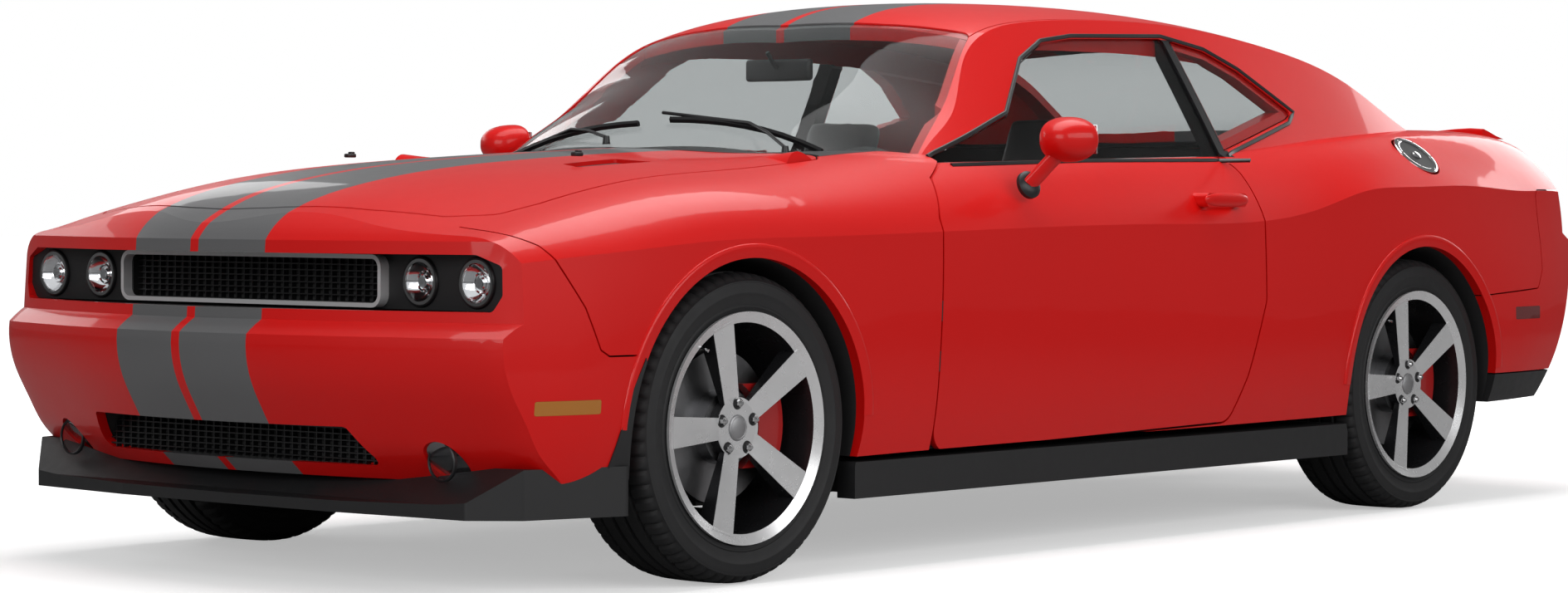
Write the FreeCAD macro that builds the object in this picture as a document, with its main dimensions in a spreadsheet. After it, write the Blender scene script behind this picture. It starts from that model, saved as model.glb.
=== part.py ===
import FreeCAD, Part
import os
import Sketcher
from math import cos, radians, sin
from FreeCAD import Placement, Rotation, Vector

# Two-door muscle car, modelled at real size in millimetres.
# X points to the front, Y to the left, Z up; the origin is on the ground under the middle of the car.


# Driving sizes
SIZES = [
    ("overall_length", 5023, "front bumper crease to rear bumper shelf"),
    ("overall_width", 1923, "across the rear arches"),
    ("overall_height", 1449, "ground to roof"),
    ("wheelbase", 2946, "front to rear axle"),
    ("front_overhang", 939, "front axle to front end"),
    ("track_front", 1603, "between front tyre middles"),
    ("track_rear", 1600, "between rear tyre middles"),
    ("tyre_diameter", 728, "245/45 R20 tyre"),
    ("tyre_width", 246, "tyre section width"),
    ("rim_diameter", 543, "rim flange of the 20 inch wheel"),
    ("rim_width", 246, "over both flanges"),
    ("front_arch_radius", 398, "front wheel opening"),
    ("rear_arch_radius", 402, "rear wheel opening"),
    ("front_well_inner", 480, "middle of car to inner wall of front well"),
    ("rear_well_inner", 560, "middle of car to inner wall of rear well"),
    ("skin_wall", 28, "outer panels"),
    ("lid_wall", 22, "hood and deck lid"),
    ("seat_clearance", 0.3, "between a panel and what carries it"),
    ("panel_gap", 4, "shut line between fixed panels"),
    ("door_gap", 6, "shut line round doors"),
    ("lid_gap", 6, "shut line round hood and deck lid"),
    ("door_depth", 150, "door thickness below the belt"),
    ("pillar_depth", 42, "roof and pillar thickness"),
    ("glass_wall", 5, "glass thickness"),
    ("glass_inset", 3, "glass behind the body surface"),
    ("glass_overlap", 22, "glass over its flange"),
    ("overrun", 60, "tools past what they cut"),
    ("door_rebate", 22, "inner door panel behind its outer edge"),
    ("door_hinge_y", 947.5, "door hinge axis"),
    ("door_hinge_length", 50, "door hinge, along its pin"),
    ("door_hinge_room", 0.8, "between a door hinge and the edges beside it"),
    ("hood_hinge_x", 960, "hood hinge axis"),
    ("hood_hinge_z", 965, "hood hinge axis"),
    ("hood_arm_radius", 81, "inside of the curved hood arms"),
    ("hood_arm_y", 480, "middle of the car to the hood arms"),
    ("hood_rear_gap", 12, "cowl panel behind the hood"),
    ("deck_hinge_x", -1620, "deck lid hinge axis"),
    ("deck_hinge_z", 1040, "deck lid hinge axis"),
    ("deck_arm_radius", 230, "inside of the curved deck lid arms"),
    ("deck_arm_y", 498, "middle of the car to the deck lid arms"),
    ("deck_front_gap", 6, "fixed panel ahead of the deck lid"),
    ("arm_wall", 12, "hinge arms, sideways"),
    ("arm_depth", 17, "hinge arms, inside to outside of the curve"),
    ("arm_foot", 90, "hinge arm flange under its lid"),
    ("boss_radius", 11, "hinge arm round its pin"),
    ("pin_room", 6, "round a hinge arm"),
    ("steer_axis_y", 792, "steering axis of a front wheel"),
    ("cabin_front", 930, "firewall"),
    ("cabin_rear", -1160, "rear bulkhead"),
    ("floor_level", 300, "top of the cabin floor"),
    ("floor_under", 185, "underside of the floor"),
    ("rocker_half", 872, "middle of the car to the outside of the rocker"),
    ("rocker_top", 266, "top of the rocker under the door"),
    ("bay_half_width", 440, "engine bay"),
    ("bay_front", 2130, "engine bay"),
    ("bay_rear", 1120, "engine bay"),
    ("bay_floor", 330, "engine bay"),
    ("boot_half_width", 516, "boot"),
    ("boot_front", -1290, "boot"),
    ("boot_rear", -2340, "boot"),
    ("boot_floor", 480, "boot"),
    ("disc_radius", 180, "brake disc"),
    ("disc_wall", 32, "brake disc"),
    ("hat_radius", 88, "brake disc hat"),
    ("hub_radius", 34, "wheel hub"),
    ("bead_height", 14, "rim flange over the bead seat"),
    ("rim_wall", 11, "rim barrel"),
    ("spoke_inset", 18, "hub face behind the rim flange"),
    ("spoke_depth", 42, "spokes, front to back"),
    ("spoke_root_width", 44, "spokes at the wheel centre"),
    ("spoke_step", 15, "spoke backs ahead of the hub's back"),
    ("spoke_dish", 34, "hub face behind the rim flange's face"),
    ("hat_depth", 68, "brake disc hat"),
    ("upright_wall", 40, "knuckle plate"),
    ("upright_height", 370, "knuckle"),
    ("caliper_wall", 30, "caliper over the disc"),
    ("brake_gap", 5, "between caliper and disc"),
    ("lamp_panel_wall", 30, "lamp panel"),
    ("bulb_radius", 12, "headlamp bulbs"),
    ("surround_wall", 10, "frame round the grille"),
    ("surround_depth", 26, "frame round the grille, ahead of the panel"),
    ("fog_radius", 46, "fog lamps"),
    ("marker_depth", 10, "side marker lenses, and what sits behind the body surface"),
    ("handle_wall", 14, "door handle grip"),
    ("mirror_stalk", 17, "door mirror stalk, radius"),
    ("filler_radius", 78, "fuel filler lid"),
    ("filler_wall", 4, "fuel filler lid"),
    ("filler_rise", 4, "fuel filler lid over the body"),
    ("shelf_level", 1058, "underside of the parcel shelf"),
    ("shelf_wall", 8, "parcel shelf"),
    ("tunnel_half", 105, "floor tunnel, outside"),
    ("tunnel_top", 390, "floor tunnel, outside"),
    ("tunnel_wall", 30, "floor tunnel"),
    ("shaft_radius", 30, "propeller shaft"),
    ("half_shaft_radius", 17, "rear half shafts"),
    ("differential_radius", 78, "differential"),
    ("pipe_radius", 30, "exhaust pipes"),
    ("tip_radius", 44, "exhaust tips"),
    ("pipe_y", 300, "middle of the car to the exhaust pipes"),
    ("ball_rise", 204, "wheel centre to the ball joints"),
    ("ball_boss_radius", 18, "arm end round the ball joint pin"),
    ("ball_pin_radius", 8, "ball joint pin"),
    ("beam_level", 140, "underside of the front crossmember"),
    ("rear_beam_level", 192, "underside of the rear crossmember"),
    ("beam_half", 50, "crossmembers, fore and aft"),
    ("beam_end", 470, "middle of the car to the ends of the crossmembers"),
    ("valance_level", 382, "top of the rear valance"),
    ("grille_rim", 14, "grille inside the lamp panel"),
    ("grille_bar", 3, "grille bars"),
    ("grille_pitch", 14, "between grille bars"),
    ("tail_lamp_depth", 40, "tail lamps"),
    ("splitter_level", 185, "underside of the front splitter"),
    ("splitter_top", 300, "front splitter before it is fitted under the body"),
    ("skirt_level", 178, "underside of the side skirts"),
    ("seat_width", 520, "front seats"),
    ("seat_depth", 520, "front seat cushions"),
    ("seat_middle", 370, "middle of the car to the middle of a front seat"),
    ("cushion_height", 190, "seat cushions"),
    ("back_wall", 150, "seat backs"),
    ("back_height", 560, "seat backs"),
    ("head_height", 170, "head restraints over the seat backs"),
    ("rear_seat_half", 560, "rear seat"),
    ("dash_depth", 330, "dashboard"),
    ("dash_low", 560, "dashboard"),
    ("dash_high", 930, "dashboard"),
    ("console_half", 95, "centre console"),
    ("console_height", 270, "centre console"),
    ("column_length", 190, "dashboard to steering wheel"),
    ("column_tilt", 24, "steering column, degrees"),
    ("steering_wheel_height", 850, "steering wheel"),
    ("steering_wheel_radius", 185, "steering wheel"),
    ("steering_rim_radius", 15, "steering wheel rim"),
    ("engine_half", 290, "engine"),
    ("engine_length", 640, "engine"),
    ("engine_height", 540, "engine"),
    ("arm_radius", 12, "suspension arms"),
    ("pin_radius", 5, "hinge pins"),
    ("pin_clearance", 0.3, "pin in its bore"),
]


class Size(float):
    """A length that also knows its own sheet expression."""

    def __new__(cls, value, text):
        made = super().__new__(cls, value)
        made.text = text
        return made

    @staticmethod
    def text_of(other):
        return getattr(other, "text", repr(other))

    def __add__(self, other):
        return Size(float(self) + float(other), f"({self.text} + {self.text_of(other)})")

    def __radd__(self, other):
        return Size(float(other) + float(self), f"({self.text_of(other)} + {self.text})")

    def __sub__(self, other):
        return Size(float(self) - float(other), f"({self.text} - {self.text_of(other)})")

    def __rsub__(self, other):
        return Size(float(other) - float(self), f"({self.text_of(other)} - {self.text})")

    def __mul__(self, other):
        return Size(float(self) * float(other), f"({self.text} * {self.text_of(other)})")

    def __rmul__(self, other):
        return Size(float(other) * float(self), f"({self.text_of(other)} * {self.text})")

    def __truediv__(self, other):
        return Size(float(self) / float(other), f"({self.text} / {self.text_of(other)})")

    def __neg__(self):
        return Size(-float(self), f"(-{self.text})")


class Dimensions:
    """The sheet's sizes as attributes."""

    def __init__(self, sheet, rows):
        for alias, _, _ in rows:
            setattr(self, alias, Size(float(sheet.get(alias)), f"{sheet.Name}.{alias}"))


doc = FreeCAD.newDocument("MuscleCar")
sheet = doc.addObject("Spreadsheet::Sheet", "Sizes")
for row, (alias, value, note) in enumerate(SIZES, 1):
    sheet.set(f"A{row}", alias)
    sheet.set(f"B{row}", str(value))
    sheet.set(f"C{row}", note)
    sheet.setAlias(f"B{row}", alias)
doc.recompute()
d = Dimensions(sheet, SIZES)
nodes = []

half_length = d.overall_length / 2
half_width = d.overall_width / 2
rear_overhang = d.overall_length - d.front_overhang - d.wheelbase
front_axle = half_length - d.front_overhang
rear_axle = front_axle - d.wheelbase
hub_height = d.tyre_diameter / 2
tyre_radius = d.tyre_diameter / 2


# Stations: -1 at the front end, 0 and 1 at the axles, 2 at the rear end
def along(station):
    """Length position of a station."""
    if station < 0:
        return front_axle - station * d.front_overhang
    if station <= 1:
        return front_axle - station * d.wheelbase
    return rear_axle - (station - 1) * rear_overhang


def smooth(table, at, column):
    """Monotone cubic through the rows of a table."""
    xs = [row[0] for row in table]
    ys = [row[column] for row in table]
    slopes = [(ys[i + 1] - ys[i]) / (xs[i + 1] - xs[i]) for i in range(len(xs) - 1)]
    if at <= xs[0]:
        return ys[0] + slopes[0] * (at - xs[0])
    if at >= xs[-1]:
        return ys[-1] + slopes[-1] * (at - xs[-1])
    tangents = [slopes[0]]
    for i in range(1, len(xs) - 1):
        before, after = slopes[i - 1], slopes[i]
        if before * after <= 0:
            tangents.append(0)
            continue
        span_before, span_after = xs[i] - xs[i - 1], xs[i + 1] - xs[i]
        weight_before = 2 * span_after + span_before
        weight_after = span_after + 2 * span_before
        tangents.append((weight_before + weight_after) / (weight_before / before + weight_after / after))
    tangents.append(slopes[-1])
    i = max(k for k in range(len(xs) - 1) if xs[k] <= at)
    span = xs[i + 1] - xs[i]
    part = (at - xs[i]) / span
    value = ys[i] * (2 * part**3 - 3 * part**2 + 1) + ys[i + 1] * (3 * part**2 - 2 * part**3)
    return value + span * (tangents[i] * (part**3 - 2 * part**2 + part) + tangents[i + 1] * (part**3 - part**2))


# Body lines: station, share of half width, share of height
SILL_SHARES = [
    (-1.10, 0.750, 0.181), (-0.76, 0.863, 0.181), (-0.45, 0.936, 0.183), (0.00, 0.967, 0.190),
    (0.23, 0.965, 0.195), (0.81, 0.965, 0.200), (1.00, 0.978, 0.204), (1.37, 0.957, 0.205),
    (1.64, 0.915, 0.207), (2.08, 0.811, 0.207),
]
WAIST_SHARES = [
    (-1.10, 0.822, 0.345), (-0.76, 0.910, 0.345), (-0.43, 0.972, 0.345), (0.00, 0.993, 0.345),
    (0.24, 0.986, 0.345), (0.53, 0.985, 0.345), (0.81, 0.990, 0.345), (1.00, 1.000, 0.345),
    (1.37, 0.993, 0.345), (1.60, 0.972, 0.345), (1.86, 0.920, 0.345), (2.08, 0.863, 0.345),
]
CREASE_SHARES = [
    (-1.10, 0.790, 0.507), (-0.76, 0.896, 0.519), (-0.43, 0.962, 0.538), (-0.13, 0.978, 0.552),
    (0.10, 0.978, 0.558), (0.44, 0.974, 0.573), (0.71, 0.972, 0.579), (0.81, 0.974, 0.601),
    (0.86, 0.976, 0.625), (0.91, 0.978, 0.642), (1.00, 0.976, 0.649), (1.60, 0.941, 0.642),
    (1.86, 0.900, 0.635), (2.08, 0.853, 0.628),
]
SHOULDER_SHARES = [
    (-1.10, 0.764, 0.521), (-0.83, 0.832, 0.545), (-0.66, 0.868, 0.558), (-0.43, 0.884, 0.592),
    (-0.13, 0.900, 0.616), (0.10, 0.907, 0.625), (0.44, 0.924, 0.636), (0.71, 0.920, 0.645),
    (0.81, 0.918, 0.659), (0.91, 0.912, 0.687), (1.00, 0.905, 0.700), (1.60, 0.863, 0.700),
    (1.86, 0.822, 0.687), (2.08, 0.775, 0.673),
]
TOP_EDGE_SHARES = [
    (-1.10, 0.686, 0.524), (-0.83, 0.728, 0.556), (-0.64, 0.759, 0.583), (-0.51, 0.749, 0.606),
    (-0.34, 0.744, 0.630), (-0.16, 0.744, 0.647), (0.02, 0.749, 0.659), (0.19, 0.790, 0.676),
    (0.30, 0.832, 0.683), (0.49, 0.842, 0.691), (0.72, 0.837, 0.701), (0.88, 0.822, 0.725),
    (1.00, 0.806, 0.742), (1.37, 0.780, 0.751), (1.64, 0.759, 0.749), (1.86, 0.728, 0.732),
    (2.08, 0.686, 0.711),
]
CENTRE_SHARES = [
    (-1.09, 0.483), (-0.99, 0.542), (-0.94, 0.562), (-0.84, 0.599), (-0.755, 0.621), (-0.62, 0.643),
    (-0.38, 0.667), (-0.16, 0.681), (0.00, 0.689), (0.13, 0.704), (0.21, 0.711), (0.43, 0.718),
    (0.74, 0.725), (0.98, 0.749), (1.37, 0.759), (1.64, 0.763), (1.90, 0.756), (2.08, 0.745),
]
BODY_STATIONS = [
    -1.07, -0.93, -0.81, -0.67, -0.51, -0.30, -0.03, 0.11, 0.24, 0.40, 0.57, 0.72, 0.805,
    0.873, 0.941, 1.07, 1.38, 1.64, 1.81, 1.95, 2.06,
]

# Glasshouse: station, shares of width and height
ROOF_SHARES = [
    (0.11, 0.611), (0.19, 0.704), (0.30, 0.822), (0.398, 0.937), (0.425, 0.960), (0.463, 0.978),
    (0.53, 0.993), (0.65, 1.000), (0.79, 0.992), (0.91, 0.963), (1.07, 0.887), (1.33, 0.786),
    (1.42, 0.757), (1.55, 0.714), (1.73, 0.66),
]
RAIL_SHARES = [
    (0.11, 0.842, 0.470), (0.19, 0.832, 0.550), (0.296, 0.785, 0.687), (0.364, 0.707, 0.804),
    (0.432, 0.629, 0.915), (0.49, 0.621, 0.943), (0.65, 0.616, 0.958), (0.79, 0.616, 0.948),
    (0.91, 0.626, 0.917), (1.07, 0.660, 0.848), (1.33, 0.695, 0.762), (1.42, 0.702, 0.725),
    (1.55, 0.707, 0.690), (1.73, 0.718, 0.64),
]
BELT_SHARES = [
    (0.11, 0.850), (0.30, 0.892), (0.53, 0.900), (0.72, 0.897), (0.88, 0.884), (1.07, 0.863),
    (1.38, 0.832), (1.73, 0.790),
]
GLASSHOUSE_STATIONS = [
    0.13, 0.20, 0.27, 0.33, 0.38, 0.415, 0.445, 0.50, 0.58, 0.67, 0.77, 0.87, 0.97, 1.18, 1.36, 1.50, 1.66,
]
GLASSHOUSE_FOOT_SHARE = 0.605

# Nose and tail profiles: share of front overhang ahead of the front axle, share of height
CHIN_SHARES = [
    (0.785, 0.069), (0.810, 0.177), (0.891, 0.228), (0.934, 0.273), (0.982, 0.331), (1.000, 0.386),
    (0.998, 0.406),
]
SHELF_SHARES = [(0.998, 0.406), (0.972, 0.419), (0.950, 0.428)]
LIP_SHARES = [(0.950, 0.428), (0.937, 0.552)]
NOSE_SHARES = [(0.937, 0.552), (0.897, 0.580), (0.841, 0.603), (0.753, 0.632), (0.455, 0.704), (0.24, 0.740)]
TAIL_LOW_SHARES = [(0.770, 0.069), (0.815, 0.207), (0.903, 0.290), (0.964, 0.380), (0.986, 0.442), (1.000, 0.511),
                   (1.000, 0.535)]
TAIL_SHELF_SHARES = [(1.000, 0.535), (0.955, 0.552)]
TAIL_UP_SHARES = [(0.955, 0.552), (0.929, 0.642), (0.903, 0.690), (0.850, 0.897)]
NOSE_PLAN_SHARES = [
    (0.000, 0.000), (0.208, 0.0125), (0.416, 0.047), (0.624, 0.102), (0.780, 0.151), (0.884, 0.193),
    (0.946, 0.250), (0.988, 0.343), (1.019, 0.468), (1.092, 0.832),
]
TAIL_PLAN_SHARES = [
    (0.000, 0.000), (0.208, 0.006), (0.416, 0.025), (0.624, 0.060), (0.780, 0.104), (0.884, 0.156),
    (0.946, 0.224), (0.988, 0.322), (1.019, 0.447), (1.092, 0.832),
]
END_WIDTH_SHARES = [-1.03, -0.99, -0.946, -0.884, -0.78, -0.624, -0.416, -0.208, 0, 0.208, 0.416, 0.624,
                    0.78, 0.884, 0.946, 0.99, 1.03]


def spline(points):
    """Edge through points."""
    curve = Part.BSplineCurve()
    curve.interpolate(points)
    return curve.toShape()


def line(start, end):
    """Straight edge."""
    return Part.LineSegment(start, end).toShape()


def mirrored(point):
    """Point on the other side of the car."""
    return Vector(point.x, -point.y, point.z)


def body_section(station, inset, drop):
    """Closed cross-section of the lower body, its underside lowered by the drop."""
    x = along(station)
    high = d.overall_height

    def place(table, side, rise):
        return Vector(x, smooth(table, station, 1) * half_width - inset * side,
                      smooth(table, station, 2) * high - inset * rise)

    sill = place(SILL_SHARES, 1, 0) - Vector(0, 0, drop)
    waist = place(WAIST_SHARES, 1, 0)
    crease = place(CREASE_SHARES, 1, 0.3)
    shoulder = place(SHOULDER_SHARES, 0.8, 0.7)
    edge = place(TOP_EDGE_SHARES, 0.7, 1)
    centre = Vector(x, 0, smooth(CENTRE_SHARES, station, 1) * high - inset)
    crown = Vector(x, edge.y * 0.6, edge.z + (centre.z - edge.z) * 0.66)
    flank = [sill, sill + Vector(0, (waist.y - sill.y) * 0.72, (waist.z - sill.z) * 0.45), waist,
             (waist + crease) * 0.5 + Vector(0, half_width * 0.004, 0), crease]
    upper = [crease, shoulder, edge, crown, centre]
    edges = [line(mirrored(sill), sill), spline(flank)]
    edges.append(spline(upper + [mirrored(p) for p in reversed(upper[:-1])]))
    edges.append(spline([mirrored(p) for p in reversed(flank)]))
    return Part.Wire(edges)


def end_section(width_share, inset):
    """Closed side-view profile of nose and tail at one width."""
    y = width_share * half_width
    back = smooth(NOSE_PLAN_SHARES, abs(width_share), 1) * half_width + inset
    forward = smooth(TAIL_PLAN_SHARES, abs(width_share), 1) * half_width + inset
    high = d.overall_height

    def nose(shares):
        return Vector(front_axle + shares[0] * d.front_overhang - back, y, shares[1] * high)

    def tail(shares):
        return Vector(rear_axle - shares[0] * rear_overhang + forward, y, shares[1] * high)

    edges = [spline([nose(p) for p in table]) for table in (CHIN_SHARES, SHELF_SHARES)]
    edges.append(line(*[nose(p) for p in LIP_SHARES]))
    edges.append(spline([nose(p) for p in NOSE_SHARES]))
    nose_top = nose(NOSE_SHARES[-1])
    tail_top = tail(TAIL_UP_SHARES[-1])
    lifted = Vector(nose_top.x, y, tail_top.z)
    edges.append(line(nose_top, lifted))
    edges.append(line(lifted, tail_top))
    edges.append(spline([tail(p) for p in reversed(TAIL_UP_SHARES)]))
    edges.append(line(tail(TAIL_SHELF_SHARES[1]), tail(TAIL_SHELF_SHARES[0])))
    edges.append(spline([tail(p) for p in reversed(TAIL_LOW_SHARES)]))
    edges.append(line(tail(TAIL_LOW_SHARES[0]), nose(CHIN_SHARES[0])))
    return Part.Wire(edges)


def glass_section(station, inset):
    """Closed cross-section of the glasshouse."""
    x = along(station)
    high = d.overall_height
    foot = Vector(x, smooth(BELT_SHARES, station, 1) * half_width - inset, GLASSHOUSE_FOOT_SHARE * high - inset)
    rail_z = max(smooth(RAIL_SHARES, station, 2) * high - inset * 0.6, foot.z + half_width * 0.03)
    rail = Vector(x, smooth(RAIL_SHARES, station, 1) * half_width - inset, rail_z)
    top_z = max(smooth(ROOF_SHARES, station, 1) * high - inset, rail.z + half_width * 0.01)
    bulge = (foot + rail) * 0.5 + Vector(0, half_width * 0.006, 0)
    over = [rail, Vector(x, rail.y * 0.8, rail.z + (top_z - rail.z) * 0.42),
            Vector(x, rail.y * 0.45, rail.z + (top_z - rail.z) * 0.85), Vector(x, 0, top_z)]
    edges = [line(mirrored(foot), foot), spline([foot, bulge, rail])]
    edges.append(spline(over + [mirrored(p) for p in reversed(over[:-1])]))
    edges.append(spline([mirrored(p) for p in (rail, bulge, foot)]))
    return Part.Wire(edges)


def body_form(inset, drop=0):
    """Lower body, drawn in by the inset."""
    flow = Part.makeLoft([body_section(s, inset, drop) for s in BODY_STATIONS], True, False, False, 3)
    ends = Part.makeLoft([end_section(w, inset) for w in END_WIDTH_SHARES], True, False, False, 3)
    return flow.common(ends)


def glass_form(inset):
    """Glasshouse, drawn in by the inset."""
    return Part.makeLoft([glass_section(s, inset) for s in GLASSHOUSE_STATIONS], True, False, False, 3)


# Outlines and cutting tools
def rounded(corners, radius):
    """Closed wire through corners, each rounded."""
    edges = []
    stops = []
    for i, corner in enumerate(corners):
        before = corners[i - 1] - corner
        after = corners[(i + 1) % len(corners)] - corner
        half_turn = before.getAngle(after) / 2
        if radius <= 0 or half_turn > radians(89):
            stops.append((corner, corner))
            continue
        slope = sin(half_turn) / cos(half_turn)
        reach = min(radius / slope, before.Length * 0.45, after.Length * 0.45)
        start = corner + before.normalize() * reach
        end = corner + after.normalize() * reach
        towards = (start + end) * 0.5 - corner
        centre = corner + towards.normalize() * (reach / cos(half_turn))
        middle = centre + (corner - centre).normalize() * (reach * slope)
        edges.append(Part.Arc(start, middle, end).toShape())
        stops.append((start, end))
    for i, (start, _) in enumerate(stops):
        edges.append(line(stops[i - 1][1], start))
    return Part.Wire(Part.sortEdges(edges)[0])


def side_prism(outline, radius=0, grow=0, low_y=0, high_y=None):
    """Prism along Y over a side-view outline of (x, z)."""
    high_y = half_width + d.overrun if high_y is None else high_y
    wire = rounded([Vector(x, low_y, z) for x, z in outline], radius)
    if grow:
        wire = wire.makeOffset2D(grow)
    return Part.Face(wire).extrude(Vector(0, high_y - low_y, 0))


def plan_prism(outline, radius=0, grow=0, low_z=0, high_z=None):
    """Prism along Z over a plan outline of (x, y)."""
    high_z = d.overall_height + d.overrun if high_z is None else high_z
    wire = rounded([Vector(x, y, low_z) for x, y in outline], radius)
    if grow:
        wire = wire.makeOffset2D(grow)
    return Part.Face(wire).extrude(Vector(0, 0, high_z - low_z))


def front_prism(outline, low_x, high_x, radius=0, grow=0):
    """Prism along X over a front-view outline of (y, z)."""
    wire = rounded([Vector(low_x, y, z) for y, z in outline], radius)
    if grow:
        wire = wire.makeOffset2D(grow)
    return Part.Face(wire).extrude(Vector(high_x - low_x, 0, 0))


def box_between(low, high):
    """Box between two corners."""
    return Part.makeBox(high[0] - low[0], high[1] - low[1], high[2] - low[2], Vector(*low))


def other_side(shape):
    """Mirror image across the car."""
    return shape.mirror(Vector(0, 0, 0), Vector(0, 1, 0))


def both_sides(shape):
    """A shape and its mirror image."""
    return Part.makeCompound([shape, other_side(shape)])


def symmetric_outline(half):
    """Plan or front outline from its left half."""
    return half + [(x, -y) for x, y in reversed(half) if y != 0]


def at(x_share, z_share):
    """Side-view point from a station and a share of the height."""
    return (along(x_share), z_share * d.overall_height)


def on_plan(station, width_share):
    """Plan point from a station and a share of the half width."""
    return (along(station), width_share * half_width)


def carve(shape, tools):
    """A shape less each tool in turn."""
    for tool in tools:
        shape = shape.cut(tool)
    return shape


def add_shape(label, shape):
    """Sub-part whose shape is worked out from the sheet."""
    made = doc.addObject("Part::Feature", label)
    made.Label = label
    solids = sorted(shape.Solids, key=lambda solid: -solid.Volume)
    kept = [solid for solid in solids if solid.Volume > solids[0].Volume * 1e-2]
    made.Shape = kept[0] if len(kept) == 1 else Part.makeCompound(kept)
    made.Placement = Placement()
    nodes.append(made)
    return made


def rod(start, end, radius):
    """Round bar between two points."""
    return Part.makeCylinder(radius, (end - start).Length, start, end - start)


# Shared forms
outer_body = body_form(0)
outer_glass = glass_form(0)
outer = outer_body.fuse(outer_glass)
skin_inner = body_form(d.skin_wall, d.skin_wall)
carrier_form = body_form(d.skin_wall + d.seat_clearance, d.skin_wall).common(outer_body)
lid_inner = body_form(d.lid_wall, d.skin_wall)
pillar_inner = glass_form(d.pillar_depth)
glass_outer = glass_form(d.glass_inset)
glass_inner = glass_form(d.glass_inset + d.glass_wall)
rebate_inner = glass_form(d.glass_inset + d.glass_wall + d.seat_clearance)

shell = outer.cut(skin_inner.fuse(pillar_inner))
flap_form = body_form(-d.panel_gap)
body_seat = outer_body.copy()
body_seat.translate(Vector(0, 0, -d.seat_clearance))
side_seat = outer_body.copy()
side_seat.translate(Vector(0, d.seat_clearance, 0))
glass_seat = glass_form(-d.seat_clearance)
lens_form = body_form(d.marker_depth)


# Outlines of the panels, from stations and height or width shares
DOOR_OUTLINE_SHARES = [
    (0.2264, 0.189), (0.2400, 0.587), (0.2620, 0.655), (0.2960, 0.684), (0.719, 0.704), (0.722, 0.580),
    (0.719, 0.430), (0.690, 0.290), (0.664, 0.204),
]
FENDER_OUTLINE_SHARES = [
    (0.2264, 0.120), (0.2264, 0.189), (0.2400, 0.587), (0.2620, 0.655), (0.2960, 0.684), (0.2960, 0.800),
    (-0.733, 0.800), (-0.733, 0.574), (-0.665, 0.546), (-0.568, 0.451), (-0.526, 0.386), (-0.500, 0.376),
    (-0.400, 0.376), (0.000, 0.250), (0.000, 0.120),
]
REAR_COVER_OUTLINE_SHARES = [
    (1.20, 0.423), (1.595, 0.437), (1.630, 0.475), (1.632, 0.530), (1.618, 0.643), (2.30, 0.643),
    (2.30, 0.050), (1.20, 0.050),
]
HOOD_PLAN_SHARES = [
    (-0.841, 0.000), (-0.830, 0.146), (-0.814, 0.239), (-0.774, 0.437), (-0.705, 0.624), (-0.620, 0.714),
    (-0.500, 0.732), (0.060, 0.728), (0.186, 0.728), (0.180, 0.420), (0.176, 0.000),
]
DECK_PLAN_SHARES = [
    (1.430, 0.000), (1.424, 0.400), (1.405, 0.640), (1.440, 0.716), (1.700, 0.712), (1.885, 0.690),
    (1.925, 0.620), (1.945, 0.000),
]
ROOF_PLAN_SHARES = [
    (0.397, 0.000), (0.408, 0.300), (0.423, 0.608), (0.700, 0.612), (0.905, 0.618), (0.918, 0.300), (0.920, 0.000),
]
WINDSHIELD_PLAN_SHARES = [
    (0.403, 0.000), (0.414, 0.330), (0.431, 0.600), (0.360, 0.690), (0.288, 0.765), (0.240, 0.640),
    (0.205, 0.420), (0.190, 0.000),
]
REAR_WINDOW_PLAN_SHARES = [
    (0.926, 0.000), (0.924, 0.300), (0.912, 0.540), (1.120, 0.590), (1.340, 0.610), (1.372, 0.400), (1.382, 0.000),
]
DOOR_GLASS_SHARES = [
    (0.300, 0.672), (0.294, 0.690), (0.418, 0.768), (0.470, 0.868), (0.510, 0.904), (0.560, 0.916), (0.706, 0.926),
    (0.719, 0.690),
]
QUARTER_GLASS_SHARES = [
    (0.728, 0.712), (0.716, 0.924), (0.770, 0.906), (0.815, 0.870), (0.881, 0.790), (0.868, 0.779),
]

door_outline = [at(*shares) for shares in DOOR_OUTLINE_SHARES]
fender_outline = [at(*shares) for shares in FENDER_OUTLINE_SHARES]
rear_cover_outline = [at(*shares) for shares in REAR_COVER_OUTLINE_SHARES]
hood_outline = symmetric_outline([on_plan(*shares) for shares in HOOD_PLAN_SHARES])
deck_outline = symmetric_outline([on_plan(*shares) for shares in DECK_PLAN_SHARES])
roof_outline = symmetric_outline([on_plan(*shares) for shares in ROOF_PLAN_SHARES])
windshield_outline = symmetric_outline([on_plan(*shares) for shares in WINDSHIELD_PLAN_SHARES])
rear_window_outline = symmetric_outline([on_plan(*shares) for shares in REAR_WINDOW_PLAN_SHARES])
door_glass_outline = [at(*shares) for shares in DOOR_GLASS_SHARES]
quarter_glass_outline = [at(*shares) for shares in QUARTER_GLASS_SHARES]

corner_round = d.door_depth * 0.4
plan_low = d.overall_height * 0.55
deck_low = d.overall_height * 0.646
glass_low = d.overall_height * 0.62


def wheel_well(axle, radius, inner):
    """Cylinder of one left wheel well."""
    return Part.makeCylinder(radius, half_width + d.overrun - inner, Vector(axle, inner, hub_height), Vector(0, 1, 0))


front_well = wheel_well(front_axle, d.front_arch_radius, d.front_well_inner)
rear_well = wheel_well(rear_axle, d.rear_arch_radius, d.rear_well_inner)
wells = [front_well, rear_well, other_side(front_well), other_side(rear_well)]
left_half = box_between((-d.overall_length, 0, 0), (d.overall_length, d.overall_width, d.overall_height + d.overrun))

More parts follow.
